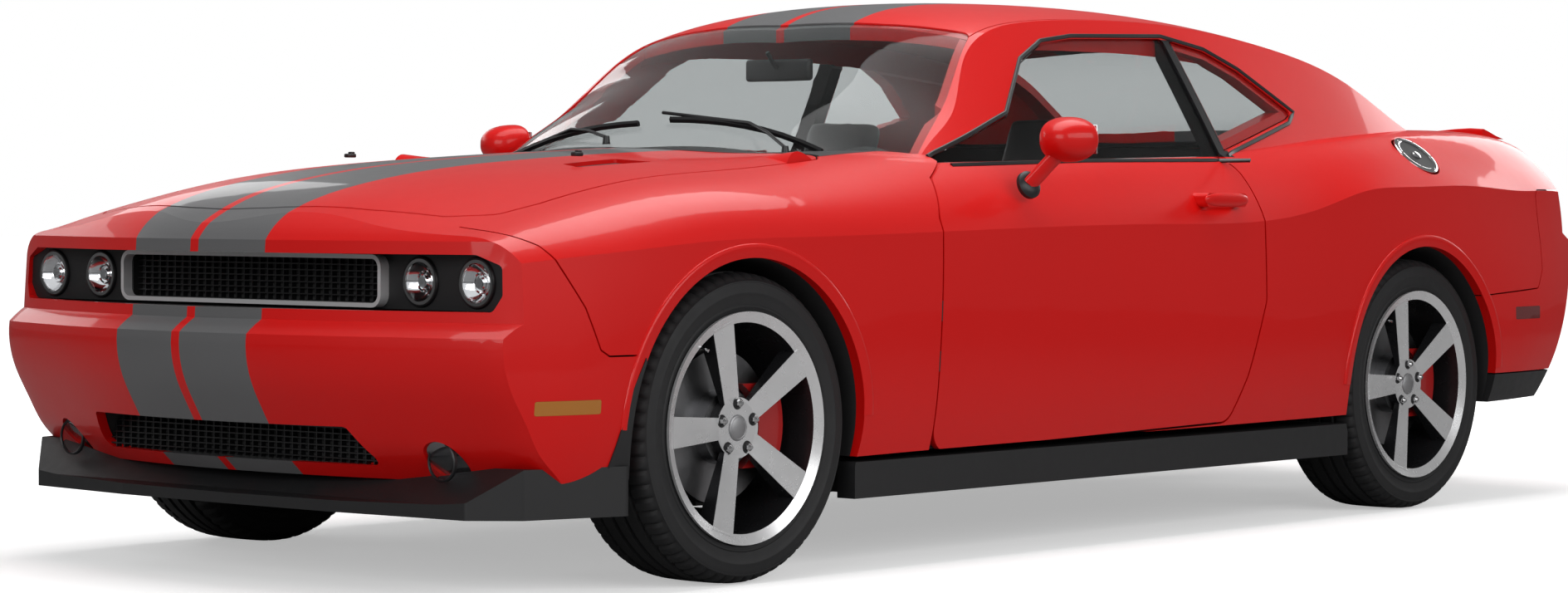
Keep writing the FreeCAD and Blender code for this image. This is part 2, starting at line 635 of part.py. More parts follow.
half_panel_gap = d.panel_gap / 2
half_door_gap = d.door_gap / 2
half_lid_gap = d.lid_gap / 2
hood_opening = plan_prism(hood_outline, corner_round, half_lid_gap, plan_low)
deck_opening = plan_prism(deck_outline, corner_round, half_lid_gap, deck_low)
door_opening = side_prism(door_outline, corner_round, half_door_gap, d.bay_half_width)
fender_edge = half_width * 0.70


def set_in_glass(prism_of):
    """Rebate and opening that take a bonded pane."""
    rebate = prism_of(half_panel_gap).cut(rebate_inner)
    return [rebate, prism_of(-d.glass_overlap)]


def windshield_prism(grow):
    """Prism over the windshield."""
    return plan_prism(windshield_outline, corner_round / 2, grow, glass_low)


def rear_window_prism(grow):
    """Prism over the rear window."""
    return plan_prism(rear_window_outline, corner_round / 2, grow, glass_low)


def quarter_prism(grow):
    """Prism over the left quarter window."""
    return side_prism(quarter_glass_outline, corner_round / 6, grow)


def door_glass_prism(grow):
    """Prism over the left door glass."""
    return side_prism(door_glass_outline, corner_round / 4, grow)


def rear_deck_prism(grow):
    """Prism over the panel between rear window and deck lid."""
    half = [on_plan(1.25, 0), on_plan(1.25, 0.665), on_plan(1.47, 0.665), on_plan(1.47, 0)]
    return plan_prism(symmetric_outline(half), 0, grow, plan_low)


LAMP_OPENING_SHARES = [(0.000, 0.532), (0.800, 0.532), (0.862, 0.515), (0.866, 0.470), (0.845, 0.445), (0.000, 0.445)]
INTAKE_SHARES = [(0.000, 0.264), (0.457, 0.264), (0.504, 0.203), (0.000, 0.203)]
TAIL_LAMP_SHARES = [(0.000, 0.640), (0.800, 0.640), (0.835, 0.620), (0.815, 0.560), (0.000, 0.560)]


def front_outline(shares):
    """Front-view outline from its left half."""
    half = [(y * half_width, z * d.overall_height) for y, z in shares]
    return half + [(-y, z) for y, z in reversed(half) if y != 0]


lamp_back = front_axle + d.front_overhang * 0.711
intake_back = front_axle + d.front_overhang * 0.772
tail_back = rear_axle - rear_overhang * 0.90
far_front = half_length + d.overrun
far_rear = -half_length - d.overrun


def lamp_prism(grow):
    """Prism over the lamp and grille opening."""
    return front_prism(front_outline(LAMP_OPENING_SHARES), lamp_back, far_front, corner_round / 4, grow)


def intake_prism(grow):
    """Prism over the lower intake."""
    return front_prism(front_outline(INTAKE_SHARES), intake_back, far_front, corner_round / 4, grow)


def tail_prism(grow):
    """Prism over the tail lamp recess."""
    return front_prism(front_outline(TAIL_LAMP_SHARES), far_rear, tail_back, corner_round / 4, grow)


VENT_PLAN_SHARES = [(0.040, 0.400), (0.040, 0.530), (-0.120, 0.500), (-0.090, 0.420)]
FRONT_MARKER_SHARES = [(-0.704, 0.288), (-0.704, 0.310), (-0.522, 0.310), (-0.522, 0.288)]
REAR_MARKER_SHARES = [(1.451, 0.374), (1.451, 0.400), (1.600, 0.400), (1.600, 0.374)]
FOG_PLACE_SHARES = (0.676, 0.213)
FILLER_PLACE_SHARES = (1.098, 0.875, 0.7095)
FILLER_TILT = 49
HANDLE_X_SHARES = (0.6855, 0.6215)
HANDLE_Z_SHARES = (0.606, 0.632)


def vent_prism(grow):
    """Prism over the left hood vent."""
    return plan_prism([on_plan(*shares) for shares in VENT_PLAN_SHARES], corner_round / 8, grow, plan_low)


def marker_prism(shares, grow):
    """Prism over a left side marker lamp."""
    return side_prism([at(*pair) for pair in shares], corner_round / 12, grow, d.rear_well_inner)


def fog_cylinder(grow):
    """Left fog lamp facing forward."""
    start = Vector(front_axle + d.front_overhang * 0.66, FOG_PLACE_SHARES[0] * half_width,
                   FOG_PLACE_SHARES[1] * d.overall_height)
    return Part.makeCylinder(d.fog_radius + grow, d.front_overhang, start, Vector(1, 0, 0))


filler_centre = Vector(along(FILLER_PLACE_SHARES[0]), FILLER_PLACE_SHARES[1] * half_width,
                       FILLER_PLACE_SHARES[2] * d.overall_height)
filler_axis = Vector(0, cos(radians(FILLER_TILT)), sin(radians(FILLER_TILT)))


def filler_cylinder(radius, depth, rise):
    """Cylinder on the fuel filler's axis, from a depth under its centre to a rise over it."""
    return Part.makeCylinder(radius, depth + rise, filler_centre - filler_axis * depth, filler_axis)


windshield_cuts = set_in_glass(windshield_prism)
rear_window_cuts = set_in_glass(rear_window_prism)
quarter_cuts = set_in_glass(quarter_prism)
left_shell = shell.common(left_half)
left_wells = [front_well, rear_well]


CABIN_SECTION_SHARES = [(0.000, 0.15), (0.822, 0.15), (0.832, 0.42), (0.812, 0.55), (0.775, 0.68), (0.000, 0.68)]


def cabin_room(low_x, high_x):
    """Left half of the cabin space, doors' inner faces included."""
    wall = [Vector(low_x, y * half_width, max(z * d.overall_height, d.floor_level)) for y, z in CABIN_SECTION_SHARES]
    lower = Part.Face(Part.makePolygon(wall + [wall[0]])).extrude(Vector(high_x - low_x, 0, 0))
    above = box_between((low_x, 0, wall[-1].z), (high_x, half_width, d.overall_height))
    return [lower, pillar_inner.common(above)]


def make_front_fender():
    """Left front fender."""
    region = side_prism(fender_outline, 0, -half_panel_gap, fender_edge)
    return carve(outer_body.common(region), [skin_inner, glass_seat, hood_opening, front_well] + windshield_cuts)


def make_front_cover():
    """Front bumper cover with its lamp, intake and hood openings."""
    region = box_between((front_axle, 0, 0), (far_front, half_width + d.overrun, d.overall_height))
    fender = side_prism(fender_outline, 0, half_panel_gap, fender_edge)
    left = carve(left_shell.common(region), [fender, hood_opening, front_well, lamp_prism(0), intake_prism(0)])
    left = carve(left, [fog_cylinder(d.seat_clearance), marker_prism(FRONT_MARKER_SHARES, d.seat_clearance)])
    return left.fuse(other_side(left))


def make_rear_cover():
    """Rear bumper cover."""
    region = side_prism(rear_cover_outline, corner_round / 3, -half_panel_gap)
    low = box_between((far_rear, 0, 0), (0, d.overall_width, d.valance_level + half_panel_gap))
    left = carve(left_shell.common(region), [rear_well, deck_opening, tail_prism(0), low])
    left = left.cut(marker_prism(REAR_MARKER_SHARES, d.seat_clearance))
    return left.fuse(other_side(left))


def make_rear_valance():
    """Lower part of the rear bumper."""
    region = side_prism(rear_cover_outline, corner_round / 3, -half_panel_gap)
    low = box_between((far_rear, 0, 0), (0, d.overall_width, d.valance_level - half_panel_gap))
    left = left_shell.common(region).common(low).cut(rear_well)
    return left.fuse(other_side(left))


def make_body_side():
    """Left body side: pillar, roof rail, quarter panel and rocker."""
    fender = side_prism(fender_outline, 0, half_panel_gap, 0).cut(outer_glass)
    cover = side_prism(rear_cover_outline, corner_round / 3, half_panel_gap, 0)
    roof = plan_prism(roof_outline, 0, half_panel_gap, glass_low)
    cowl_low = (front_axle - d.wheelbase * 0.35, 0, plan_low)
    cowl_high = (far_front, fender_edge + half_panel_gap, glass_low * 1.3)
    nose = box_between((front_axle - d.front_arch_radius, 0, 0), (far_front, d.overall_width, d.overall_height))
    side = carve(left_shell, [nose, fender, cover, door_opening, roof, deck_opening, rear_deck_prism(half_panel_gap)])
    side = carve(side, [rear_well, door_glass_prism(half_door_gap), tail_prism(0), box_between(cowl_low, cowl_high)])
    side = carve(side, windshield_cuts + rear_window_cuts + quarter_cuts)
    return max(side.Solids, key=lambda solid: solid.Volume)


def make_roof():
    """Roof panel between the rails."""
    region = plan_prism(roof_outline, 0, -half_panel_gap, glass_low)
    return carve(shell.common(region), windshield_cuts + rear_window_cuts)


def make_rear_deck():
    """Panel between rear window and deck lid."""
    deck_swing = deck_opening.copy()
    deck_swing.translate(Vector(d.deck_front_gap, 0, 0))
    return carve(shell.common(rear_deck_prism(-half_panel_gap)), [deck_swing] + rear_window_cuts)


def make_cowl():
    """Cowl panel between windshield and hood."""
    region = box_between((front_axle - d.wheelbase * 0.35, -fender_edge + half_panel_gap, plan_low),
                         (front_axle - d.wheelbase * 0.15, fender_edge - half_panel_gap, d.overall_height))
    hood_swing = hood_opening.copy()
    hood_swing.translate(Vector(-d.hood_rear_gap, 0, 0))
    return carve(shell.common(region), [hood_swing] + windshield_cuts)


def on_arc(pivot, radius, degrees):
    """Point round a pivot, the angle from +X towards +Z."""
    return pivot + Vector(cos(radians(degrees)), 0, sin(radians(degrees))) * radius


def curved_arm(pivot, inner, first, last):
    """Gooseneck arm: a ring piece from the first to the last angle, a spoke at the last and a bored boss."""
    outer_radius = inner + d.arm_depth
    middle = (first + last) / 2
    outside = Part.Arc(*[on_arc(pivot, outer_radius, angle) for angle in (first, middle, last)]).toShape()
    inside = Part.Arc(*[on_arc(pivot, inner, angle) for angle in (last, middle, first)]).toShape()
    ends = [line(on_arc(pivot, outer_radius, last), on_arc(pivot, inner, last)),
            line(on_arc(pivot, inner, first), on_arc(pivot, outer_radius, first))]
    ring = Part.Face(Part.Wire(Part.sortEdges([outside, inside] + ends)[0])).extrude(Vector(0, d.arm_wall, 0))
    tip = on_arc(pivot, inner + d.arm_depth / 2, last)
    across = (on_arc(pivot, 1, last + 90) - pivot) * (d.arm_depth / 2)
    corners = [pivot - across, tip - across, tip + across, pivot + across]
    spoke = Part.Face(Part.makePolygon(corners + [corners[0]])).extrude(Vector(0, d.arm_wall, 0))
    along_y = Vector(0, 1, 0)
    arm = ring.fuse([spoke, Part.makeCylinder(d.boss_radius, d.arm_wall, pivot, along_y)])
    return arm.cut(Part.makeCylinder(d.pin_radius + d.pin_clearance, d.arm_wall, pivot, along_y))


def hinge_pin(pivot):
    """Pin through the arm, its ends in the walls on both sides."""
    start = pivot - Vector(0, d.pin_room + d.pin_radius, 0)
    return Part.makeCylinder(d.pin_radius, d.arm_wall + (d.pin_room + d.pin_radius) * 2, start, Vector(0, 1, 0))


hood_pivot = Vector(d.hood_hinge_x, d.hood_arm_y, d.hood_hinge_z)
deck_pivot = Vector(d.deck_hinge_x, d.deck_arm_y, d.deck_hinge_z)
HOOD_ARM_ANGLES = (18, -60)
DECK_ARM_ANGLES = (169.5, 250)


def arm_flange(start, reach, rise):
    """Flat flange from the end of an arm along its lid."""
    low = Vector(min(start.x, start.x + reach), start.y, start.z - d.arm_wall * 1.5)
    return Part.makeBox(abs(reach), d.arm_wall, d.arm_wall * 1.5 + rise, low)


def make_hood():
    """Hood panel with its two curved arms."""
    panel = outer.common(plan_prism(hood_outline, corner_round, -half_lid_gap, plan_low)).cut(lid_inner)
    panel = carve(panel, [vent_prism(0), other_side(vent_prism(0))])
    arm = curved_arm(hood_pivot, d.hood_arm_radius, *HOOD_ARM_ANGLES)
    end = on_arc(hood_pivot, d.hood_arm_radius + d.arm_depth / 2, HOOD_ARM_ANGLES[0])
    arm = arm.fuse(arm_flange(end, d.arm_foot, 0))
    return panel.fuse(arm).fuse(other_side(arm))


def make_deck_lid():
    """Deck lid with its two curved arms."""
    panel = outer.common(plan_prism(deck_outline, corner_round, -half_lid_gap, deck_low + d.lid_gap)).cut(lid_inner)
    arm = curved_arm(deck_pivot, d.deck_arm_radius, *DECK_ARM_ANGLES)
    end = on_arc(deck_pivot, d.deck_arm_radius + d.arm_depth / 2, DECK_ARM_ANGLES[0])
    arm = arm.fuse(arm_flange(end, -d.arm_foot, 0))
    return panel.fuse(arm).fuse(other_side(arm))


def make_hood_vents():
    """Slatted inserts of the two hood vents."""
    insert = lens_form.common(vent_prism(-d.seat_clearance)).cut(lid_inner)
    stations = [along(station) for station, _ in VENT_PLAN_SHARES]
    pitch = (max(stations) - min(stations)) / 9
    slots = []
    for row in range(1, 9):
        x = min(stations) + pitch * row
        slots.append(box_between((x - pitch * 0.28, half_width * 0.432, plan_low),
                                 (x + pitch * 0.28, half_width * 0.488, d.overall_height)))
    return both_sides(carve(insert, slots))


def door_handle():
    """Pull handle on the left door, open behind its grip."""
    low_x, high_x = [along(station) for station in HANDLE_X_SHARES]
    low_z, high_z = [share * d.overall_height for share in HANDLE_Z_SHARES]
    root = half_width * 0.93
    face = half_width * 0.984
    inset = (high_x - low_x) * 0.15
    corners = [(low_x, low_z), (high_x, low_z), (high_x, high_z), (low_x, high_z)]
    grip = side_prism(corners, corner_round / 5, 0, root, face)
    hollow = box_between((low_x + inset, root, low_z - d.handle_wall),
                         (high_x - inset, face - d.handle_wall, high_z + d.handle_wall))
    return grip.cut(hollow.cut(outer_body))


door_core_outline = [(x, z + d.door_rebate * 2) if z > d.overall_height * 0.68 else (x, z) for x, z in door_outline]


def make_door():
    """Left door below the belt: outer panel and the narrower box behind it."""
    skin = side_prism(door_outline, corner_round, -half_door_gap, d.bay_half_width)
    core = side_prism(door_core_outline, corner_round, -half_door_gap - d.door_rebate, d.bay_half_width)
    frame = lid_inner.common(skin).cut(core)
    sill_room = box_between((rear_axle, 0, 0),
                            (front_axle, fender_edge + d.overrun * 2, d.floor_level + d.door_gap * 2))
    return carve(outer.common(skin), cabin_room(rear_axle, front_axle) + [frame, sill_room]).fuse(door_handle())


def pane(prism):
    """Curved pane under a prism."""
    return glass_outer.common(prism).cut(glass_inner)


def make_door_glass():
    """Left door glass down to the top of the door."""
    seat = side_prism(door_outline, corner_round, d.seat_clearance - half_door_gap)
    return pane(door_glass_prism(-half_door_gap)).cut(seat)


DOOR_HINGE_HEIGHT_SHARES = (0.345, 0.430)


def door_hinges():
    """Hinge leaves in the shut line ahead of the left door, from the pillar out to their pins."""
    root = d.door_hinge_y - d.door_rebate * 2
    leaf = side_prism(door_outline, corner_round, half_panel_gap - d.door_hinge_room, root, d.door_hinge_y)
    leaf = leaf.cut(side_prism(door_outline, corner_round, d.door_hinge_room - half_door_gap, root, d.door_hinge_y))
    gap_middle = (half_panel_gap - half_door_gap) / 2
    ends = [Vector(x + gap_middle, d.door_hinge_y, z) for x, z in door_outline[:2]]
    leaf = leaf.fuse(rod(*ends, (half_panel_gap + half_door_gap) / 2 - d.door_hinge_room)).common(outer_body)
    leaves = []
    for share in DOOR_HINGE_HEIGHT_SHARES:
        foot = share * d.overall_height - d.door_hinge_length / 2
        band = box_between((ends[1].x - d.overrun, root, foot),
                           (ends[0].x + d.overrun, half_width, foot + d.door_hinge_length))
        leaves.append(leaf.common(band))
    return leaves


def make_unibody():
    """Floor, firewall, bulkheads, wheelhouses and inner sides."""
    bay = box_between((d.bay_rear, -d.bay_half_width, d.bay_floor), (d.bay_front, d.bay_half_width, d.overall_height))
    boot = box_between((d.boot_rear, -d.boot_half_width, d.boot_floor),
                       (d.boot_front, d.boot_half_width, d.overall_height))
    way_in = side_prism(door_core_outline, corner_round, -half_door_gap - d.door_rebate / 2, d.bay_half_width)
    nose = front_prism(front_outline(LAMP_OPENING_SHARES), lamp_back, far_front, 0, d.panel_gap)
    intake = front_prism(front_outline(INTAKE_SHARES), intake_back, far_front, 0, d.panel_gap)
    tail = front_prism(front_outline(TAIL_LAMP_SHARES), far_rear, tail_back, 0, d.panel_gap)
    small = [fog_cylinder(d.pin_room), windshield_cuts[0],
             filler_cylinder(d.filler_radius + d.pin_room * 2, d.skin_wall * 2, d.skin_wall)]
    frame = carve(carrier_form.common(left_half), [bay, boot, nose, intake, tail] + left_wells + small)
    frame = carve(frame, cabin_room(d.cabin_rear, d.cabin_front) + [way_in])
    floor = box_between((d.cabin_rear - d.overrun, 0, d.floor_under), (d.bay_rear + d.overrun, fender_edge, d.floor_level))
    rocker = box_between((d.cabin_rear - d.overrun, 0, d.floor_under), (d.bay_rear, d.rocker_half, d.rocker_top))
    hump = box_between((d.cabin_rear - d.overrun, 0, d.floor_under),
                       (d.bay_rear + d.overrun, d.tunnel_half, d.tunnel_top))
    shelf = box_between((d.boot_front - d.boot_half_width * 0.6, 0, d.shelf_level),
                        (d.boot_front + d.overrun * 2.2, d.boot_half_width * 1.25, d.shelf_level + d.shelf_wall))
    frame = frame.fuse([floor, rocker, hump]).fuse(shelf.common(pillar_inner))
    tunnel = box_between((rear_axle - d.overrun, 0, 0),
                         (d.bay_rear + d.overrun * 2, d.tunnel_half - d.tunnel_wall, d.tunnel_top - d.tunnel_wall))
    shafts = box_between((rear_axle - d.beam_half * 0.7, 0, 0),
                         (rear_axle + d.beam_half * 0.7, half_width, hub_height + d.beam_half))
    differential = box_between((rear_axle - d.differential_radius * 1.5, 0, 0),
                               (rear_axle + d.differential_radius * 1.5, d.differential_radius * 1.5,
                                hub_height + d.differential_radius + d.pin_room))
    frame = carve(frame, [front_well, rear_well, tunnel, shafts, differential])
    slot = box_between((d.hood_hinge_x - d.boss_radius - d.pin_room, d.hood_arm_y - d.pin_room,
                        d.hood_hinge_z - d.hood_arm_radius - d.arm_depth),
                       (d.hood_hinge_x + d.hood_arm_radius + d.arm_foot + d.arm_depth,
                        d.hood_arm_y + d.arm_wall + d.pin_room, d.overall_height))
    frame = frame.cut(slot).fuse([hinge_pin(hood_pivot), hinge_pin(deck_pivot)] + door_hinges())
    return frame.fuse(other_side(frame))


# Body panels
unibody = add_shape("unibody", make_unibody())
left_fender = make_front_fender()
add_shape("front_fender_left", left_fender)
add_shape("front_fender_right", other_side(left_fender))
left_side = make_body_side()
right_side = other_side(left_side)
left_side = left_side.cut(filler_cylinder(d.filler_radius + d.pin_room, d.skin_wall * 2, d.skin_wall))
add_shape("body_side_left", left_side)
add_shape("body_side_right", right_side)
add_shape("front_bumper_cover", make_front_cover())
add_shape("rear_bumper_cover", make_rear_cover())
add_shape("rear_valance", make_rear_valance())
add_shape("roof_panel", make_roof())
add_shape("rear_deck_panel", make_rear_deck())
add_shape("cowl_panel", make_cowl())
add_shape("hood_panel", make_hood())
add_shape("hood_vents", make_hood_vents())
add_shape("deck_lid", make_deck_lid())
left_door = make_door()
add_shape("door_left", left_door)
add_shape("door_right", other_side(left_door))
left_glass = make_door_glass()
add_shape("door_glass_left", left_glass)
add_shape("door_glass_right", other_side(left_glass))
add_shape("windshield", pane(windshield_prism(0)))
add_shape("rear_window", pane(rear_window_prism(0)))
add_shape("quarter_windows", both_sides(pane(quarter_prism(0))))


MIRROR_HEAD_SHARES = [(0.925, 0.690), (0.925, 0.760), (1.110, 0.764), (1.130, 0.745), (1.125, 0.694), (1.100, 0.682)]
MIRROR_PLAN_SHARES = [(0.408, 0.925), (0.408, 1.130), (0.392, 1.130), (0.366, 1.040), (0.362, 0.925)]
MIRROR_STALK_SHARES = [(0.3625, 0.915, 0.645), (0.381, 0.975, 0.700)]


def make_mirror():
    """Left door mirror: head on a stalk with a foot on the door."""
    front = front_prism([(y * half_width, z * d.overall_height) for y, z in MIRROR_HEAD_SHARES], 0, half_length,
                        corner_round / 2)
    head = front.common(plan_prism([on_plan(*shares) for shares in MIRROR_PLAN_SHARES], corner_round / 3, 0, plan_low))
    foot, top = [Vector(along(x), y * half_width, z * d.overall_height) for x, y, z in MIRROR_STALK_SHARES]
    stalk = rod(foot, top, d.mirror_stalk)
    base = Part.makeCylinder(d.mirror_stalk * 2, d.mirror_stalk * 3, foot - Vector(0, d.mirror_stalk * 1.5, 0),
                             Vector(0, 1, 0))
    return head.fuse([stalk, base.common(base_form)]).cut(side_seat)


def make_fuel_door():
    """Round fuel filler lid with the barrel of its hinge at the front."""
    sideways = filler_axis.cross(Vector(1, 0, 0)) * (d.filler_wall * 2)
    reach = filler_centre + Vector(d.filler_radius + d.filler_wall * 0.8, 0, 0)
    corners = [filler_centre - sideways, reach - sideways, reach + sideways, filler_centre + sideways]
    tongue = Part.Face(Part.makePolygon(corners + [corners[0]])).extrude(filler_axis * d.filler_wall)
    start = reach - sideways + filler_axis * (d.filler_wall / 2)
    barrel = rod(start, start + sideways * 2, d.filler_wall / 2)
    return filler_cylinder(d.filler_radius, d.filler_rise - d.filler_wall, d.filler_wall).fuse([tongue, barrel])


# Fuel filler and mirrors
base_form = body_form(-d.mirror_stalk * 0.7)
left_mirror = make_mirror()
add_shape("mirror_left", left_mirror)
add_shape("mirror_right", other_side(left_mirror))
add_shape("fuel_door", make_fuel_door())


# Wheels
def profile(body, name, plane, corners):
    """Closed sketch whose corners are sheet expressions."""
    sketch = body.newObject("Sketcher::SketchObject", name)
    support = [item for item in body.Origin.OriginFeatures if item.Role == plane][0]
    sketch.AttachmentSupport = [(support, "")]
    sketch.MapMode = "FlatFace"
    count = len(corners)
    places = [Vector(float(u), float(v), 0) for u, v in corners]
    for i in range(count):
        sketch.addGeometry(Part.LineSegment(places[i], places[(i + 1) % count]), False)
    for i in range(count):
        sketch.addConstraint(Sketcher.Constraint("Coincident", i, 2, (i + 1) % count, 1))
    for i, (u, v) in enumerate(corners):
        for kind, value in (("DistanceX", u), ("DistanceY", v)):
            index = sketch.addConstraint(Sketcher.Constraint(kind, -1, 1, i, 1, float(value)))
            if isinstance(value, Size):
                sketch.setExpression(f"Constraints[{index}]", value.text)
    return sketch


def turned_body(label, corners, placement):
    """Body turned about its local Y axis from (radius, offset) corners."""
    body = doc.addObject("PartDesign::Body", label)
    body.Label = label
    sketch = profile(body, label + "_profile", "XY_Plane", corners)
    turned = body.newObject("PartDesign::Revolution", label + "_turned")
    turned.Profile = sketch
    turned.ReferenceAxis = (sketch, ["V_Axis"])
    turned.Angle = 360
    body.Tip = turned
    body.Placement = placement
    nodes.append(body)
    return body


def wheel_place(axle, track, side):
    """Placement of a wheel, its own Y pointing outboard."""
    turn = Rotation(Vector(0, 0, 1), 0 if side > 0 else 180)
    return Placement(Vector(axle, side * track / 2, hub_height), turn)


WHEELS = {
    "front_left": (front_axle, d.track_front, 1),
    "front_right": (front_axle, d.track_front, -1),
    "rear_left": (rear_axle, d.track_rear, 1),
    "rear_right": (rear_axle, d.track_rear, -1),
}
tyre_half = d.tyre_width / 2
rim_half = d.rim_width / 2
rim_radius = d.rim_diameter / 2
bead_radius = rim_radius - d.bead_height
shoulder = d.tyre_width * 0.11
TYRE_CORNERS = [
    (bead_radius, tyre_half * 0.80), (bead_radius + d.bead_height * 2, tyre_half * 0.93),
    ((bead_radius + tyre_radius) * 0.5, tyre_half), (tyre_radius - shoulder * 1.3, tyre_half * 0.965),
    (tyre_radius - shoulder * 0.35, tyre_half - shoulder * 0.6), (tyre_radius, tyre_half - shoulder * 1.3),
]
tyre_corners = TYRE_CORNERS + [(radius, -offset) for radius, offset in reversed(TYRE_CORNERS)]


SPOKE_TAPER = 3.4


def make_rim(label, placement):
    """Five-spoke wheel: barrel, hub and spokes."""
    seat = bead_radius - d.seat_clearance
    wall = d.rim_wall
    barrel = [
        (rim_radius, rim_half), (rim_radius, rim_half - wall), (seat, rim_half - wall * 1.5),
        (seat, wall * 1.5 - rim_half), (rim_radius, wall - rim_half), (rim_radius, -rim_half),
        (seat - wall, wall - rim_half), (seat - wall, rim_half - wall),
    ]
    body = doc.addObject("PartDesign::Body", label)
    body.Label = label
    sketch = profile(body, label + "_barrel", "XY_Plane", barrel)
    turned = body.newObject("PartDesign::Revolution", label + "_barrel_turned")
    turned.Profile = sketch
    turned.ReferenceAxis = (sketch, ["V_Axis"])
    turned.Angle = 360
    hub_out = rim_half - d.spoke_inset
    hub_in = hub_out - d.spoke_depth
    spoke_half = d.spoke_root_width / 2
    dish = rim_half - d.spoke_dish
    hub = profile(body, label + "_hub", "XY_Plane", [
        (d.hub_radius * 0, hub_out), (d.hub_radius * 2.1, hub_out), (d.hub_radius * 2.1, hub_in),
        (d.hub_radius * 0, hub_in),
    ])
    spoke = profile(body, label + "_spoke", "YZ_Plane", [
        (hub_in + d.spoke_step, spoke_half), (rim_half, spoke_half), (rim_half, -spoke_half),
        (hub_in + d.spoke_step, -spoke_half),
    ])
    pad = body.newObject("PartDesign::Pad", label + "_spoke_pad")
    pad.Profile = spoke
    pad.setExpression("Length", (seat - wall / 2).text)
    pad.TaperAngle = SPOKE_TAPER
    doc.recompute()
    pattern = body.newObject("PartDesign::PolarPattern", label + "_spokes")
    pattern.Originals = [pad]
    pattern.Axis = (sketch, ["V_Axis"])
    pattern.Angle = 360
    pattern.Occurrences = 5
    body.Tip = pattern
    doc.recompute()
    boss = body.newObject("PartDesign::Revolution", label + "_hub_turned")
    boss.Profile = hub
    boss.ReferenceAxis = (hub, ["V_Axis"])
    boss.Angle = 360
    bowl = profile(body, label + "_bowl", "XY_Plane", [
        (d.hub_radius * 0, dish), (d.hub_radius * 1.9, dish), (seat - wall, rim_half - wall * 0.9),
        (rim_radius, rim_half + wall * 0.1), (rim_radius, rim_half + d.spoke_depth),
        (d.hub_radius * 0, rim_half + d.spoke_depth),
    ])
    body.Tip = boss
    dished = body.newObject("PartDesign::Groove", label + "_dished")
    dished.Profile = bowl
    dished.ReferenceAxis = (bowl, ["V_Axis"])
    dished.Angle = 360
    body.Tip = dished
    body.Placement = placement
    nodes.append(body)
    return body


for name, (axle, track, side) in WHEELS.items():
    place = wheel_place(axle, track, side)
    turned_body(f"tyre_{name}", tyre_corners, place)
    make_rim(f"rim_{name}", place)
    hat_face = rim_half - d.spoke_inset - d.spoke_depth - d.seat_clearance
    rotor_in = hat_face - d.hat_depth
    turned_body(f"brake_disc_{name}", [
        (d.hub_radius, hat_face), (d.hat_radius, hat_face), (d.hat_radius, rotor_in + d.disc_wall),
        (d.disc_radius, rotor_in + d.disc_wall), (d.disc_radius, rotor_in), (d.hub_radius, rotor_in),
    ], place)


# Uprights and calipers
def box_part(label, low, high, kept=True):
    """Box primitive between two corners of sheet expressions."""
    made = doc.addObject("Part::Box", label)
    made.Label = label
    for prop, a, b in (("Length", low[0], high[0]), ("Width", low[1], high[1]), ("Height", low[2], high[2])):
        size = b - a
        setattr(made, prop, float(size))
        made.setExpression(prop, size.text)
    for prop, value in (("x", low[0]), ("y", low[1]), ("z", low[2])):
        made.setExpression(f"Placement.Base.{prop}", Size.text_of(value))
    if kept:
        nodes.append(made)
    return made


def make_knuckle(axle, track, side):
    """Upright with its stub through the disc."""
    hat_face = rim_half - d.spoke_inset - d.spoke_depth - d.seat_clearance
    inner = hat_face - d.hat_depth - d.seat_clearance
    centre = Vector(axle, side * track / 2, hub_height)
    outward = Vector(0, side, 0)
    stub = Part.makeCylinder(d.hub_radius - d.pin_clearance, d.hat_depth, centre + outward * (inner - d.upright_wall / 2),
                             outward)
    plate = Part.makeCylinder(d.hat_radius, d.upright_wall, centre + outward * (inner - d.upright_wall), outward)
    arm = box_between((axle - d.upright_wall, min(side * 1.0, 0) * d.upright_wall, -d.upright_height / 2),
                      (axle + d.upright_wall, max(side * 1.0, 0) * d.upright_wall, d.upright_height / 2))
    arm.translate(Vector(0, side * (track / 2 + inner - d.upright_wall), hub_height))
    return stub.fuse([plate, arm])


def ball_places(side):
    """Upper and lower ball joint of a front wheel, on its steering axis."""
    return [Vector(front_axle, side * d.steer_axis_y, hub_height + rise) for rise in (d.ball_rise, -d.ball_rise)]


def ball_pins(side):
    """Pins that carry the front knuckle in its arms."""
    length = d.ball_rise - d.upright_height / 2 + d.ball_boss_radius
    upper, lower = ball_places(side)
    rise = Vector(0, 0, d.ball_boss_radius)
    return [Part.makeCylinder(d.ball_pin_radius, length, upper + rise - Vector(0, 0, length)),
            Part.makeCylinder(d.ball_pin_radius, length, lower - rise)]


